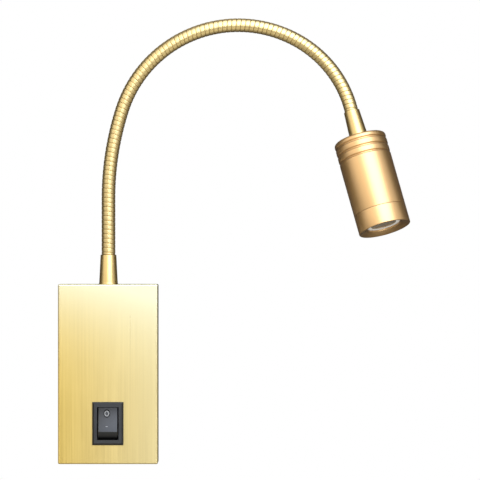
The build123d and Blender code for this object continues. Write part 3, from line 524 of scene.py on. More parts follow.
# ---- the gooseneck
@dataclass
class Centreline:
    """The gooseneck's centreline: a rise, a lean, a round crown and a drop to the head."""

    foot: tuple[float, float, float] = (0.0, -14.0, 59.8)
    rise: float = 28.5
    lean_radius: float = 146.5
    lean_turn: float = 17.5
    crown_radius: float = 61.3
    crown_turn: float = 99.4
    drop_radius: float = 54.1
    tail: float = 2.7
    heading: float = -74.5
    forward: float = 14.0

    def __post_init__(self) -> None:
        """Work out where each stretch starts, which way it heads and how long it is."""
        head, lean = math.radians(self.heading), math.radians(self.forward)
        self.drop_way = np.array([math.cos(head) * math.cos(lean), -math.sin(lean),
                                  math.sin(head) * math.cos(lean)])
        place, way = np.array(self.foot) * MM, UP
        self.stretches: list[tuple[float, Array, Array, Array, float]] = []
        self._add(place, way, np.zeros(3), math.inf, self.rise * MM)
        place = place + way * self.rise * MM
        for radius, turn in ((self.lean_radius, self.lean_turn),
                             (self.crown_radius, self.crown_turn)):
            place, way = self._bend(place, way, np.cross(TO_WALL, way), radius * MM,
                                    math.radians(turn))
        left = math.acos(float(way @ self.drop_way))
        side = unit(self.drop_way - way * float(way @ self.drop_way))
        place, way = self._bend(place, way, side, self.drop_radius * MM, left)
        self._add(place, way, np.zeros(3), math.inf, self.tail * MM)
        self.end = place + way * self.tail * MM
        self.length = sum(stretch[4] for stretch in self.stretches)

    def _add(self, place: Array, way: Array, side: Array, radius: float,
             length: float) -> None:
        """Note one stretch; a straight one has an infinite radius."""
        self.stretches.append((radius, place, way, side, length))

    def _bend(self, place: Array, way: Array, side: Array, radius: float,
              turn: float) -> tuple[Array, Array]:
        """Note an arc.

        Args:
            place: where it starts.
            way: the direction there.
            side: the direction from there to the arc's centre.
            radius: its radius in metres.
            turn: the angle it turns through, in radians.

        Returns:
            Where it ends, and the direction there.
        """
        self._add(place, way, side, radius, radius * turn)
        ends = place + side * radius * (1 - math.cos(turn)) + way * radius * math.sin(turn)
        return ends, way * math.cos(turn) + side * math.sin(turn)

    def stations(self, lengths: Array) -> tuple[Array, Array, Array, Array]:
        """Points and steady frames at lengths along the centreline.

        On a straight stretch a point is place + way * s. On an arc of radius R it is
        place + side * R * (1 - cos(s / R)) + way * R * sin(s / R), and the direction is
        way * cos(s / R) + side * sin(s / R). The first cross vector is the wall's normal
        made square to the direction, and the second is the direction crossed with it.

        Args:
            lengths: metres from the lower ferrule's top; outside the free part the line
                runs on straight.

        Returns:
            Points, directions, and the two cross vectors, a row for each length.
        """
        lengths = np.asarray(lengths, float)
        points, ways = np.zeros((len(lengths), 3)), np.zeros((len(lengths), 3))
        start = 0.0
        for number, (radius, place, way, side, length) in enumerate(self.stretches):
            low = -math.inf if number == 0 else start
            high = math.inf if number == len(self.stretches) - 1 else start + length
            inside = (lengths >= low) & (lengths <= high)
            s = (lengths[inside] - start)[:, None]
            if math.isinf(radius):
                points[inside], ways[inside] = place + way * s, way + 0 * s
            else:
                a = s / radius
                points[inside] = (place + side * radius * (1 - np.cos(a))
                                  + way * radius * np.sin(a))
                ways[inside] = way * np.cos(a) + side * np.sin(a)
            start += length
        first = unit(TO_WALL - ways * (ways @ TO_WALL)[:, None])
        return points, ways, first, np.cross(ways, first)


@dataclass
class Gooseneck:
    """The ribbed metal hose, in pieces that each reach across one hinge, and its lead."""

    line: Centreline
    sections: int = 20
    ribs_per_section: int = 5
    crest: float = 3.44
    groove: float = 3.17
    bore: float = 1.95
    crown: float = 0.03
    seam_width: float = 0.10
    socket: float = 9.0
    rib_step: float = 0.2
    around: int = 72
    steps_per_rib: int = 36
    bore_rings: int = 13
    lead_rings: int = 25
    lead_around: int = 16
    lead_radius: float = 1.4
    lead_below: float = 35.0
    lead_above: float = 35.8
    blend_margin: float = 0.45

    def rib(self, lengths: Array, angles: Array) -> Array:
        """Outer radius over a grid of lengths and angles.

        With u from -1 to 1 across a turn of the wound strip, counted along the length and
        back along the angle so that the ribs wind left-handed, the radius is
        crest - crown * u^2 - (crest - crown - groove) * exp(-((1 - |u|) / width)^2). In
        the sockets it is the groove's radius, and the ribs rise from it over a short step.

        Args:
            lengths: metres along the centreline, as a column.
            angles: radians round it, as a row.

        Returns:
            The radius in metres at each grid point.
        """
        pitch = self.line.length / (self.sections * self.ribs_per_section)
        turns = lengths / pitch + angles / (2 * np.pi)
        u = 2 * (turns - np.floor(turns)) - 1
        ridge = (self.crest - self.crown * u ** 2
                 - (self.crest - self.crown - self.groove)
                 * np.exp(-((1 - np.abs(u)) / self.seam_width) ** 2))
        free = np.minimum(lengths, self.line.length - lengths)
        inside = np.clip(free / (self.rib_step * MM), 0, 1)
        return (self.groove + (ridge - self.groove) * inside) * MM

    def tube(self, lengths: Array) -> Skin:
        """The hose's wall between two lengths, with its ribs outside and its bore inside.

        A point is the centreline's point plus r * (cos a * first + sin a * second), with r
        from the ribs outside and the bore's radius inside. The outer normals come from the
        surface's own derivatives, so that neighbouring pieces shade as one.

        Args:
            lengths: evenly spaced metres along the centreline.

        Returns:
            The closed skin, with a normal at each corner.
        """
        step = lengths[1] - lengths[0]
        wider = np.concatenate([[lengths[0] - step], lengths, [lengths[-1] + step]])
        points, ways, first, second = self.line.stations(wider)
        arm = spokes(first, second, self.around)
        angle = np.arange(self.around) * (2 * np.pi / self.around)
        skin = points[:, None] + self.rib(wider[:, None], angle)[..., None] * arm
        along = (skin[2:] - skin[:-2]) / 2
        round_it = (np.roll(skin, -1, 1) - np.roll(skin, 1, 1))[1:-1] / 2
        outward = unit(np.cross(round_it, along))
        rows, columns = len(lengths), self.around
        kept = np.unique(np.linspace(1, rows, self.bore_rings).astype(int))[::-1]
        inner = points[kept, None] + self.bore * MM * arm[kept]
        faces = grid_faces(rows + len(kept), columns, wrap_rows=True)
        normals = np.concatenate([outward, -arm[kept]]).reshape(-1, 3)[faces]
        blocks = normals.reshape(-1, columns, 4, 3)
        blocks[rows - 1], blocks[-1] = ways[-2], -ways[1]
        return Skin(np.concatenate([skin[1:-1], inner]).reshape(-1, 3), faces, normals)

    def lead(self, low: float, high: float) -> Skin:
        """The lamp lead's sheath between two lengths: a plain round tube with flat ends.

        A point is the centreline's point plus the lead's radius times
        (cos a * first + sin a * second); each end closes on a point at its middle.

        Args:
            low: metres along the centreline where the stretch starts.
            high: where it ends.

        Returns:
            The closed skin.
        """
        lengths = np.linspace(low, high, self.lead_rings)
        points, _, first, second = self.line.stations(lengths)
        arm = spokes(first, second, self.lead_around)
        share = np.ones(len(lengths) + 2)
        share[[0, -1]] = 0.0
        centre = np.concatenate([points[:1], points, points[-1:]])
        spoke = np.concatenate([arm[:1], arm, arm[-1:]])
        skin = centre[:, None] + self.lead_radius * MM * share[:, None, None] * spoke
        return Skin(skin.reshape(-1, 3), grid_faces(len(share), self.lead_around))

    def build(self, hose: Material, sheath: Material) -> None:
        """Build the hose and its lead, piece by piece.

        A piece reaches from the middle of one section to the middle of the next, so its ends
        meet its neighbours'. The two end pieces ride on the base and the head; the others stay
        as built, with their CAD sections hidden.

        Args:
            hose: the hose's finish.
            sheath: the lead's finish.
        """
        section, length = self.line.length / self.sections, self.line.length
        spans = self.ribs_per_section * self.steps_per_rib
        end_spans = round(spans * (0.5 + self.socket * MM / section))
        margin = self.blend_margin * MM
        names = ["base", *(f"hose_{n:02d}" for n in range(2, self.sections)), "head"]
        for hinge in range(self.sections + 1):
            low, high = (hinge - 0.5) * section, (hinge + 0.5) * section
            stretch, lead_stretch, body = (low, high, spans + 1), (low, high), None
            if hinge == 0:
                stretch, body = (-self.socket * MM, high, end_spans + 1), names[0]
                lead_stretch = (-self.lead_below * MM, high)
            elif hinge == self.sections:
                stretch, body = (low, length + self.socket * MM, end_spans + 1), names[-1]
                lead_stretch = (low, length + self.lead_above * MM)
            skin = self.tube(np.linspace(*stretch)).piece(f"hose_skin_{hinge:02d}", hose)
            core = self.lead(*lead_stretch).piece(f"lead_sheath_{hinge:02d}", sheath,
                                                  sharp_degrees=60.0)
            node = f"gooseneck_{min(hinge + 1, self.sections):02d}"
            for made, slot, stands_for in ((skin, "hose_brass", node),
                                           (core, "lead_plastic", "lamp_lead")):
                if body:
                    ride(made, body, slot, stands_for)
                    continue
                ends = self.line.stations(np.array([low + margin, high - margin]))[0]
                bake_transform(made)
                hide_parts(stands_for)
                log.info("%s bends from %s to %s", made.name, *names[hinge - 1:hinge + 1])
        log.info("gooseneck: %d hinges, %.1f mm free", self.sections - 1, length / MM)


# ---- ferrules and head
@dataclass
class Ferrule:
    """A tapered end piece of the gooseneck, with a threaded tail."""

    length: float = 14.8
    foot: float = 4.65
    top: float = 3.95
    flare: float = 0.25
    flare_length: float = 0.8
    socket_radius: float = 3.0
    socket_depth: float = 9.0
    bore: float = 2.0
    thread: float = 4.0
    tail: float = 12.0
    thread_round: float = 0.35
    foot_round: float = 0.12
    waist_round: float = 0.6
    top_round: float = 0.22
    socket_round: float = 0.12
    around: int = 96

    def build(self, name: str, axle: Axle, body: str, material: Material) -> None:
        """Turn the ferrule's outline: foot at height 0, hose socket at the top, tail below.

        Args:
            name: the node that it replaces.
            axle: its origin is the foot, and it runs towards the hose.
            body: the body that it rides on.
            material: the finish.
        """
        floor = self.length - self.socket_depth
        outline = rounded_corners([
            (self.bore, -self.tail, 0.0), (self.thread, -self.tail, self.thread_round),
            (self.thread, 0.0, 0.0), (self.foot + self.flare, 0.0, self.foot_round),
            (self.foot, self.flare_length, self.waist_round),
            (self.top, self.length, self.top_round),
            (self.socket_radius, self.length, self.socket_round),
            (self.socket_radius, floor, 0.0), (self.bore, floor, 0.0)])
        skin = axle.turned(outline, self.around)
        ride(skin.piece(f"{name}_turned", material), body, "head_gold", name)


@dataclass
class Head:
    """The lamp's head: a grooved cap, a barrel and a bezel, with the lens inside."""

    axle: Axle
    radius: float = 13.2
    cap_length: float = 10.5
    groove_pitch: float = 3.75
    groove_floor: float = 12.6
    groove_width: float = 0.8
    floor_share: float = 0.6
    floor_round: float = 0.16
    joint_share: float = 0.5
    joint_round: float = 0.12
    land_round: float = 0.35
    land_curve: float = 1.6
    rear_round: float = 1.5
    spigot_radius: float = 11.35
    spigot_bore: float = 8.95
    spigot_length: float = 5.0
    spigot_round: float = 0.2
    tail_hole: float = 4.05
    barrel_length: float = 28.2
    barrel_bore: float = 11.4
    web_back: float = 30.5
    web_front: float = 33.0
    web_round: float = 0.3
    front_spigot: float = 12.25
    front_bore: float = 10.85
    front_spigot_length: float = 5.3
    seam_gap: float = 0.05
    seam_round: float = 0.18
    bezel_length: float = 9.5
    bezel_bore: float = 12.3
    mouth_radius: float = 12.6
    mouth_round: float = 0.3
    lip_round: float = 0.08
    throat_radius: float = 8.45
    throat_round: float = 0.25
    funnel_depth: float = 1.5
    throat_thickness: float = 1.0
    lens_flange: float = 10.2
    lens_flange_thickness: float = 1.2
    flange_round: float = 0.1
    flange_edge: float = 0.15
    lens_cone: float = 9.4
    cone_round: float = 0.3
    lens_rear: float = 4.8
    lens_rear_height: float = 35.2
    rear_edge: float = 0.2
    lens_recess: float = 2.8
    lens_recess_depth: float = 4.2
    recess_round: float = 0.6
    recess_edge: float = 0.05
    lens_dome: float = 0.35
    edge_width: float = 2.0
    edge_height: float = 0.35
    edge_sunk: float = 0.1
    edge_fall: float = 0.1
    edge_round: float = 0.1
    throat_fit: float = 0.05
    dome_points: int = 13
    around: int = 160

    @property
    def seam(self) -> float:
        """Height of the seam between the barrel and the bezel."""
        return self.cap_length + self.barrel_length

    @property
    def lens_front(self) -> float:
        """Height of the throat's inner end, where the lens lies against the bezel."""
        return self.seam + self.bezel_length - self.funnel_depth - self.throat_thickness

    def groove(self, height: float) -> Corners:
        """The corners of one groove in the cap's outside.

        Args:
            height: the middle of its floor.

        Returns:
            The corners from the rear land to the front one.
        """
        half, land, floor = self.groove_width / 2, self.land_round, self.groove_floor
        reach, curve = half * self.floor_share, land * self.land_curve
        return [(self.radius, height - half - land / 2, curve),
                (floor, height - reach, self.floor_round),
                (floor, height + reach, self.floor_round),
                (self.radius, height + half + land / 2, curve)]

    def half_groove(self, side: int) -> Corners:
        """Half of the third groove, which the cap and the barrel share.

        Args:
            side: -1 for the cap's half, 1 for the barrel's.

        Returns:
            The half's corners, from the rear to the front.
        """
        half, land, end = self.groove_width / 2, self.land_round, self.cap_length
        corners = [(self.radius, end + side * (half + land / 2), land * self.land_curve),
                   (self.groove_floor, end + side * half * self.joint_share,
                    self.joint_round), (self.groove_floor, end, 0.0)]
        return corners[::-side]

    def cap(self) -> Array:
        """The cap's outline: rounded rear, two grooves and half of the third."""
        end, spigot = self.cap_length, self.cap_length + self.spigot_length
        return rounded_corners([
            (self.tail_hole, 0.0, 0.0), (self.radius, 0.0, self.rear_round),
            *self.groove(end - 2 * self.groove_pitch), *self.groove(end - self.groove_pitch),
            *self.half_groove(-1), (self.spigot_radius, end, 0.0),
            (self.spigot_radius, spigot, self.spigot_round),
            (self.spigot_bore, spigot, self.spigot_round),
            (self.spigot_bore, end, 0.0), (self.tail_hole, end, 0.0)])

    def barrel(self) -> Array:
        """The barrel's outline: the other half of the third groove, the web and a spigot."""
        seam, front = self.seam, self.seam + self.front_spigot_length
        return rounded_corners([
            (self.barrel_bore, self.cap_length, 0.0), *self.half_groove(1),
            (self.radius, seam, self.seam_round), (self.front_spigot, seam, 0.0),
            (self.front_spigot, front, self.spigot_round),
            (self.front_bore, front, self.spigot_round),
            (self.front_bore, self.web_front, self.web_round), (0.0, self.web_front, 0.0),
            (0.0, self.web_back, 0.0), (self.barrel_bore, self.web_back, self.web_round)])

    def bezel(self) -> Array:
        """The bezel's outline: a rounded seam, a thin lip and the shallow funnel inside."""
        start, mouth = self.seam + self.seam_gap, self.seam + self.bezel_length
        return rounded_corners([
            (self.bezel_bore, start, 0.0), (self.radius, start, self.seam_round),
            (self.radius, mouth, self.mouth_round),
            (self.mouth_radius, mouth, self.lip_round),
            (self.throat_radius, mouth - self.funnel_depth, self.throat_round),
            (self.throat_radius, self.lens_front, 0.0),
            (self.bezel_bore, self.lens_front, 0.0)])

    def lens(self) -> Array:
        """The lens's outline: a slightly domed front, a flange, a cone and a rear recess.

        At a share q of the way in from the throat the dome stands dome * (1 - (1 - q)^2)
        over the flange's front.

        Returns:
            The outline's points, in millimetres.
        """
        front, flange = self.lens_front, self.lens_front - self.lens_flange_thickness
        rear, floor = self.lens_rear_height, self.lens_rear_height + self.lens_recess_depth
        inward = np.linspace(0, 1, self.dome_points)
        dome = np.stack([(self.throat_radius - self.throat_fit) * (1 - inward),
                         front + self.lens_dome * (1 - (1 - inward) ** 2)], 1)
        rest = rounded_corners([
            (0.0, floor, 0.0), (self.lens_recess, floor, self.recess_round),
            (self.lens_recess, rear, self.recess_edge),
            (self.lens_rear, rear, self.rear_edge), (self.lens_cone, flange, self.cone_round),
            (self.lens_flange, flange, self.flange_round),
            (self.lens_flange, front, self.flange_edge)])
        return np.concatenate([rest, dome])

    def lens_edge(self) -> Array:
        """The outline of the low bead round the lens's front, in the throat, which carries the
        painted glint.

        Returns:
            The outline's points, in millimetres.
        """
        inner, outer = self.throat_radius - self.edge_width, self.throat_radius - self.throat_fit
        low, high = self.lens_front - self.edge_sunk, self.lens_front + self.edge_height
        return rounded_corners([(inner, low, 0.0), (outer, low, 0.0),
                                (outer, high, self.edge_round),
                                (inner, high - self.edge_fall, self.edge_round)])

    def build(self, gold: Material, glass: Material, glint_paint: Material) -> None:
        """Turn the head's pieces and fix them to the head.

        Args:
            gold: the finish of the cap, the barrel and the bezel.
            glass: the lens's finish.
            glint_paint: the finish of the lens's edge, a pale painted glint.
        """
        for name, outline, material, slot in (
                ("head_cap", self.cap(), gold, "head_gold"),
                ("head_barrel", self.barrel(), gold, "head_gold"),
                ("head_bezel", self.bezel(), gold, "head_gold"),
                ("lens", self.lens(), glass, "lens_clear"),
                # The lens edge is a pale ring of painted glint.
                ("lens_edge", self.lens_edge(), glint_paint, "lens_clear")):
            skin = self.axle.turned(outline, self.around)
            stands_for = () if name == "lens_edge" else (name,)
            made = skin.piece(f"{name}_turned", material, sharp_degrees=32.0)
            ride(made, "head", slot, *stands_for)


# ---- the switch
@dataclass
class Rocker:
    """The switch's rocker: a dished face, two ridges, and rounded sides."""

    centre_height: float = -24.7
    pivot_depth: float = 24.2
    radius: float = 9.5
    ridge_angle: float = 40.7
    skirt_angle: float = 50.3
    skirt_length: float = 5.7
    dish: float = 0.9
    tilt: float = 16.0
    width: float = 9.9
    side_round: float = 0.45
    ridge_round: float = 0.25
    ridge_share: float = 0.8
    pin_radius: float = 1.1
    pin_round: float = 0.25
    pin_reach: float = 0.9
    ring_radius: float = 1.2
    ring_width: float = 0.42
    ring_tall: float = 1.22
    rim_width: float = 0.42
    rim_gap: float = 0.02
    ring_place: float = 3.35
    ring_aside: float = -0.5
    bar_place: float = -3.4
    bar_length: float = 1.2
    bar_width: float = 0.34
    bar_squareness: float = 0.4
    ink: float = 0.05
    face_points: int = 41
    end_points: int = 9
    ridge_points: int = 5
    side_points: int = 6
    ring_points: int = 48
    bar_points: int = 32
    pin_around: int = 48

    def frame(self) -> tuple[Array, Array, Array, Array]:
        """The pivot, and the directions along the face, out of it and along the pivot."""
        sine, cosine = math.sin(math.radians(self.tilt)), math.cos(math.radians(self.tilt))
        return (np.array([0.0, -self.pivot_depth, self.centre_height]),
                np.array([0.0, sine, cosine]), np.array([0.0, -cosine, sine]), ACROSS)

    def rim(self, angle: float) -> Array:
        """The point of the ends' arc at an angle in degrees: radius * (sin, cos)."""
        turn = math.radians(angle)
        return np.array([self.radius * math.sin(turn), self.radius * math.cos(turn)])

    def face_height(self, along: Array) -> Array:
        """The dished face's height: an arc through both ridges and the dish's middle.

        The ridges stand at plus and minus half along the face, at the height top. The arc's
        radius is bend = (half^2 + dish^2) / (2 * dish), and the height at a place x is
        top - dish + bend - sqrt(bend^2 - x^2).

        Args:
            along: places along the face, in millimetres.

        Returns:
            The heights over the pivot, in millimetres.
        """
        half, top = self.rim(self.ridge_angle)
        bend = (half ** 2 + self.dish ** 2) / (2 * self.dish)
        return top - self.dish + bend - np.sqrt(bend ** 2 - np.square(along))

    def outline(self) -> Array:
        """The side view, clockwise from one ridge: dish, end, skirt and back again.

        Returns:
            Points along the face and out of it, in millimetres.
        """
        ridge, skirt = self.rim(self.ridge_angle), self.rim(self.skirt_angle)
        tilt = math.radians(self.tilt)
        foot = skirt + self.skirt_length * np.array([math.sin(tilt), -math.cos(tilt)])
        across = np.linspace(-ridge[0], ridge[0], self.face_points)
        face = np.stack([across, self.face_height(across)], 1)[1:-1]
        angles = np.linspace(self.ridge_angle, self.skirt_angle, self.end_points)
        end = np.stack([self.rim(angle) for angle in angles])[1:]
        nose = self._round(face[-1], ridge, end[0])
        half = np.concatenate([nose, end, foot[None]])
        mirror = half[::-1] * np.array([-1.0, 1.0])
        return np.concatenate([face, half, mirror])

    def _round(self, before: Array, corner: Array, after: Array) -> Array:
        """Round a ridge: low * (1 - t)^2 + corner * 2 t (1 - t) + high * t^2.

        Low and high are points of its two sides, a little way from the corner.

        Args:
            before: a point on the face, on the ridge's one side.
            corner: the sharp ridge.
            after: a point of the end, on its other side.

        Returns:
            The curve's points, for t from 0 to 1.
        """
        low = corner + unit(before - corner) * self.ridge_round
        high = corner + unit(after - corner) * self.ridge_round * self.ridge_share
        t = np.linspace(0, 1, self.ridge_points)[:, None]
        return low * (1 - t) ** 2 + corner * 2 * t * (1 - t) + high * t ** 2

    def body(self) -> Skin:
        """The rocker's skin: its outline carried across, drawn in at both sides.

        At an angle q of the side rounding the outline stands at half the width minus
        round * (1 - sin q) and is drawn in by round * (1 - cos q) towards its inside.

        Returns:
            The closed skin.
        """
        shape = self.outline()
        pivot, along, out, across = self.frame()
        way = unit(np.roll(shape, -1, 0) - np.roll(shape, 1, 0))
        inward = np.stack([way[:, 1], -way[:, 0]], 1)
        quarter = np.linspace(0, np.pi / 2, self.side_points)
        reach = self.width / 2 - self.side_round * (1 - np.sin(quarter))
        drawn = self.side_round * (1 - np.cos(quarter))
        places = np.concatenate([-reach[::-1], reach])
        insets = np.concatenate([drawn[::-1], drawn])
        rings = shape[None] + insets[:, None, None] * inward[None]
        centre = rings.mean(axis=1, keepdims=True)
        poles = np.broadcast_to(centre[[0, -1]], (2, *shape.shape))
        rings = np.concatenate([poles[:1], rings, poles[1:]])
        places = np.concatenate([places[:1], places, places[-1:]])
        points = (pivot + rings[..., 0:1] * along + rings[..., 1:2] * out
                  + places[:, None, None] * across) * MM
        return Skin(points.reshape(-1, 3), grid_faces(len(places), shape.shape[0])[:, ::-1])

    def pin(self) -> Skin:
        """The pivot pin, turned about the pivot.

        Returns:
            The closed skin, without a UV map.
        """
        reach = self.width / 2 + self.pin_reach
        outline = rounded_corners([
            (0.0, -reach, 0.0), (self.pin_radius, -reach, self.pin_round),
            (self.pin_radius, reach, self.pin_round), (0.0, reach, 0.0)])
        made = Axle(self.frame()[0] * MM, ACROSS).turned(outline, self.pin_around)
        return Skin(made.points, made.faces)

    def printed(self, across: Array, along: Array) -> Skin:
        """A thin print on the dished face over a grid of face coordinates.

        A point is pivot + across * side + along * length + (face height + lift) * out,
        where the lift is the ink's thickness on top and minus that on the underside.

        Args:
            across: millimetres along the pivot, rows by columns.
            along: millimetres along the face, the same shape.

        Returns:
            The closed skin.
        """
        pivot, length, out, side = self.frame()
        rows, columns = across.shape
        height = self.face_height(along)
        over, under = ((pivot + side * across[..., None] + length * along[..., None]
                        + out * (height + lift)[..., None]) * MM
                       for lift in (self.ink, -self.ink))
        ring = np.concatenate([over, under[::-1]])
        return Skin(ring.reshape(-1, 3), grid_faces(2 * rows, columns, True, True))

    def ring_mark(self, outer: float, width: float) -> Skin:
        """An O: two ovals about the ring's place, joined over and under.

        An oval's point is (aside + r * cos a, place + tall * r * sin a).

        Args:
            outer: the outer oval's radius across.
            width: how much smaller the inner oval's radius is.

        Returns:
            The closed skin.
        """
        angle = np.linspace(0, 2 * np.pi, self.ring_points, endpoint=False)
        radii = np.array([[outer], [outer - width]])
        return self.printed(self.ring_aside + radii * np.cos(angle),
                            self.ring_place + self.ring_tall * radii * np.sin(angle))

    def bar_mark(self) -> Skin:
        """The dash: a rounded oblong, closed by one shrunk to its middle.

        Its point is (aside + half * sign(cos a) * |cos a|^squareness,
        place + width / 2 * sin a).

        Returns:
            The closed skin.
        """
        angle = np.linspace(0, 2 * np.pi, self.bar_points, endpoint=False)
        scale = np.array([[1.0], [0.0]])
        half = self.bar_length / 2
        shape = np.sign(np.cos(angle)) * np.abs(np.cos(angle)) ** self.bar_squareness
        return self.printed(self.ring_aside + scale * half * shape, self.bar_place
                            + scale * self.bar_width / 2 * np.sin(angle))

    def build(self, plastic: Material, ink: Material, rim: Material) -> None:
        """Build the rocker, its two marks and a dead-black ring round the O, painted shade of an
        engraved groove.

        Args:
            plastic: the rocker's finish.
            ink: the marks' finish.
            rim: the finish of the ring of painted groove shade.
        """
        mark = self.ring_mark(self.ring_radius, self.ring_width)
        edge = self.ring_mark(self.ring_radius + self.rim_width, self.rim_width - self.rim_gap)
        for name, skin, material, sharp, stands_for in (
                ("rocker_body", self.body(), plastic, 30.0, ("switch_rocker",)),
                ("rocker_pin", self.pin(), plastic, 40.0, ("switch_rocker",)),
                ("rocker_ring_mark", mark, ink, 40.0, ()),
                # The ring round the O is painted shade: dead black where an engraved groove
                # would lie in shadow.
                ("rocker_ring_groove_shade", edge, rim, 40.0, ()),
                ("rocker_bar_mark", self.bar_mark(), ink, 40.0, ())):
            ride(skin.piece(name, material, sharp), "rocker", "switch_black", *stands_for)


# ---- carried-over pieces
@dataclass
class CadPieces:
    """The finish of each CAD piece, also of those that a piece made here stands for."""

    finishes: dict[Finish, str]

    def dress(self) -> None:
        """Give each named piece its finish."""
        for finish, names in self.finishes.items():
            for node in names.split():
                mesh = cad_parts[node].data
                mesh.materials.clear()
                mesh.materials.append(finish.material())
            log.info("%s on %s", finish.name, names)


CARRIED = CadPieces({
    COVER_BRASS: "front_cover",
    ZINC_STEEL: "wall_bracket cover_screws earth_screw terminal_screws driver_screws "
                "board_screws lock_washer arm_nut switch_spring",
    SWITCH_BLACK: "switch_housing switch_plunger switch_rocker",
    CONTACT_BRASS: "switch_contact switch_terminals",
    GROMMET_RUBBER: "cable_grommet",
    TERMINAL_NYLON: "terminal_block",
    DRIVER_WHITE: "driver_case driver_lid",
    BOARD_GREEN: "driver_board",
    TRANSFORMER_TAPE: "driver_transformer",
    CAN_ALUMINIUM: "driver_capacitor",
    CORE_PVC: "mains_leads led_wires",
    PAD_SILICONE: "thermal_pad",
    LED_BOARD_WHITE: "led_board",
    PHOSPHOR: "led_emitter",
    HOLDER_WHITE: "lens_holder",
    HEAD_GOLD: "head_cap head_barrel head_bezel",
    FERRULE_GOLD: "lower_ferrule upper_ferrule",
    LENS_ACRYLIC: "lens",
    LEAD_BLACK: "lamp_lead",
    HOSE_BRASS: " ".join(f"gooseneck_{n:02d}" for n in range(1, 21)),
})


# ---- studio
class Seen(Enum):
    """Which rays meet a lamp or a card."""

    BY_ALL = "lights matt and glossy surfaces alike"
    BY_GLOSS = "shows only in the sheen of metal and plastic"


@dataclass(frozen=True)
class SoftBox:
    """A soft rectangular lamp, placed by its bearing from the lamp's middle."""

    name: str
    bearing: float
    height: float
    distance: float
    spread: tuple[float, float]
    radiance: float
    colour: str
    seen: Seen = Seen.BY_ALL

    def build(self, middle: Array) -> None:
        """Hang the lamp, facing the middle.

        Its direction is (sin b cos h, -cos b cos h, sin h) for the bearing b to the right
        of the camera and the height h, and its sides are 2 * distance * tan(spread).

        Args:
            middle: the point that it faces, in metres.
        """
        turn, rise = math.radians(self.bearing), math.radians(self.height)
        way = np.array([math.sin(turn) * math.cos(rise), -math.cos(turn) * math.cos(rise),
                        math.sin(rise)])
        sides = [2 * self.distance * math.tan(math.radians(half)) for half in self.spread]
        data = bpy.data.lights.new(self.name, "AREA")
        data.shape, data.size, data.size_y = "RECTANGLE", sides[0], sides[1]
        data.energy = self.radiance * math.pi * sides[0] * sides[1]
        data.color = to_linear(self.colour)[:3]
        made = linked(self.name, data)
        made.location = middle + way * self.distance
        made.rotation_euler = Vector(-way).to_track_quat("-Z", "Y").to_euler()
        if self.seen is Seen.BY_GLOSS:
            made.visible_diffuse = made.visible_transmission = False


SOFT_BOXES = (
    SoftBox("key", 18.0, 30.0, 1.2, (30.0, 26.0), 1.0, "FBFCFF"),
    SoftBox("key_sheen", 17.0, 42.0, 1.3, (26.0, 42.0), 3.6, "D2E2FF", Seen.BY_GLOSS),
    SoftBox("wide_sheen", -22.0, 30.0, 1.5, (47.0, 30.0), 0.8, "FFF6E8", Seen.BY_GLOSS),
    SoftBox("under_sheen", 14.0, -42.0, 0.4, (34.0, 18.0), 0.8, "F0EFD8", Seen.BY_GLOSS),
    SoftBox("back_sheen", 152.0, 38.0, 0.8, (9.0, 22.0), 2.0, "FFF6E8", Seen.BY_GLOSS),
    SoftBox("top_sheen", 200.0, 58.0, 0.8, (20.0, 15.0), 4.0, "FFFAF2", Seen.BY_GLOSS),
)


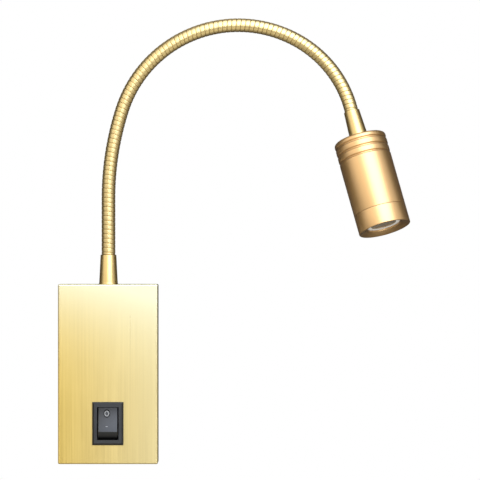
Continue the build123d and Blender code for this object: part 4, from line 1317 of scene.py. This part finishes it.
@dataclass
class Studio:
    """Camera, soft lights, pale floor, white surroundings and grey cards behind."""

    pixels: int = 480
    mm_per_pixel: float = 0.503
    box_centre_pixel: tuple[float, float] = (108.1, 373.6)
    arm_depth: float = 14.0
    distance: float = 3.0
    aside: float = 0.2
    floor_height: float = -0.32
    matt_level: float = 0.62
    card_radius: float = 0.29
    card_rows: int = 24
    card_columns: int = 48
    card_colour: str = "787570"
    softboxes: tuple[SoftBox, ...] = SOFT_BOXES

    def middle(self) -> Array:
        """The point at the middle of the picture, in the arm's plane."""
        return np.array([(self.pixels / 2 - self.box_centre_pixel[0]) * self.mm_per_pixel,
                         -self.arm_depth,
                         (self.box_centre_pixel[1] - self.pixels / 2) * self.mm_per_pixel]) * MM

    def camera(self) -> None:
        """Look straight at the wall from far off, framed as the photograph is."""
        data = bpy.data.cameras.new("camera")
        data.sensor_width = 36.0
        data.lens = data.sensor_width * self.distance / (self.pixels * self.mm_per_pixel * MM)
        data.clip_end = 50.0
        made = linked("camera", data)
        made.location = self.middle() - np.array([self.aside * MM, self.distance, 0.0])
        made.rotation_euler = (math.pi / 2, 0.0, 0.0)
        bpy.context.scene.camera = made

    def world(self) -> None:
        """Light the scene softly, and show white to camera, mirror and glass rays."""
        world = bpy.data.worlds.new("studio")
        bpy.context.scene.world = world
        world.use_nodes = True
        tree = world.node_tree
        tree.nodes.clear()
        path = add_node(tree, "ShaderNodeLightPath")
        first = add_node(tree, "ShaderNodeMath", {"operation": "MAXIMUM"},
                         {0: path.outputs["Is Camera Ray"], 1: path.outputs["Is Glossy Ray"]})
        seen = add_node(tree, "ShaderNodeMath", {"operation": "MAXIMUM"},
                        {0: first.outputs[0], 1: path.outputs["Is Transmission Ray"]})
        soft = add_node(tree, "ShaderNodeBackground", None,
                        {"Color": to_linear("FFFDF9"), "Strength": self.matt_level})
        white = add_node(tree, "ShaderNodeBackground", None,
                         {"Color": (1, 1, 1, 1), "Strength": 1.0})
        chosen = add_node(tree, "ShaderNodeMixShader", None,
                          {0: seen.outputs[0], 1: soft.outputs[0], 2: white.outputs[0]})
        add_node(tree, "ShaderNodeOutputWorld", None, {"Surface": chosen.outputs[0]})

    def matt(self, name: str, code: str) -> Material:
        """A matt material for the floor and the cards.

        Args:
            name: the material's name.
            code: its sRGB hex colour.

        Returns:
            The material.
        """
        material = bpy.data.materials.new(name)
        material.use_nodes = True
        surface = material.node_tree.nodes["Principled BSDF"]
        surface.inputs["Base Color"].default_value = to_linear(code)
        surface.inputs["Roughness"].default_value = 1.0
        surface.inputs["Specular IOR Level"].default_value = 0.0
        return material

    def floor(self) -> None:
        """A wide pale floor, well under the lamp."""
        reach, low = 6.0, self.floor_height
        corners = np.array([(-reach, -reach, low), (reach, -reach, low),
                            (reach, reach, low), (-reach, reach, low)])
        Skin(corners, np.array([[0, 1, 2, 3]])).piece(
            "floor", self.matt("pale_floor", "F3F2EF"))

    def card(self, name: str, bearings: tuple[float, float],
             heights: tuple[float, float]) -> None:
        """A grey card bowed round a part of the lamp, for the metal's dark edges.

        It is part of a sphere about the picture's middle, between two bearings b and two
        heights h: middle + radius * (sin b cos h, -cos b cos h, sin h). Only glossy rays
        meet it.

        Args:
            name: the card's name.
            bearings: degrees to the right of the camera, from one side to the other.
            heights: degrees above the level, from the lower to the upper.
        """
        b = np.radians(np.linspace(*bearings, self.card_columns))[None, :]
        h = np.radians(np.linspace(*heights, self.card_rows))[:, None]
        places = self.middle() + self.card_radius * np.stack(
            [np.sin(b) * np.cos(h), -np.cos(b) * np.cos(h), np.sin(h) + 0 * b], -1)
        faces = grid_faces(self.card_rows, self.card_columns, wrap_columns=False)
        made = Skin(places.reshape(-1, 3), faces).piece(
            name, self.matt(name, self.card_colour))
        made.visible_camera = made.visible_diffuse = made.visible_shadow = False
        made.visible_transmission = False

    def build(self) -> None:
        """Set the whole studio."""
        self.camera()
        self.world()
        self.floor()
        self.card("back_card", bearings=(88.0, 276.0), heights=(-12.0, 82.0))
        self.card("under_card", bearings=(112.0, 228.0), heights=(-86.0, -12.0))
        for softbox in self.softboxes:
            softbox.build(self.middle())
        bpy.context.scene.view_settings.view_transform = "Standard"


# ---- the whole lamp
def main() -> None:
    """Build the lamp, sub-assembly by sub-assembly, and set the studio."""
    logging.basicConfig(level=logging.INFO, format="%(name)s: %(message)s")
    CARRIED.dress()
    line, lower, upper = Centreline(), Ferrule(tail=12.0), Ferrule(tail=7.0)
    Gooseneck(line).build(HOSE_BRASS.material(), LEAD_BLACK.material())
    foot = np.array(line.foot) * MM - UP * lower.length * MM
    rear = line.end + line.drop_way * upper.length * MM
    gold = FERRULE_GOLD.material()
    lower.build("lower_ferrule", Axle(foot, UP), "base", gold)
    upper.build("upper_ferrule", Axle(rear, -line.drop_way), "head", gold)
    Head(Axle(rear, line.drop_way)).build(HEAD_GOLD.material(), LENS_ACRYLIC.material(),
                                          LENS_GLINT.material())
    Rocker().build(SWITCH_BLACK.material(), MARK_INK.material(), GROOVE_SHADE.material())
    Studio().build()


if __name__ == "__main__":
    main()
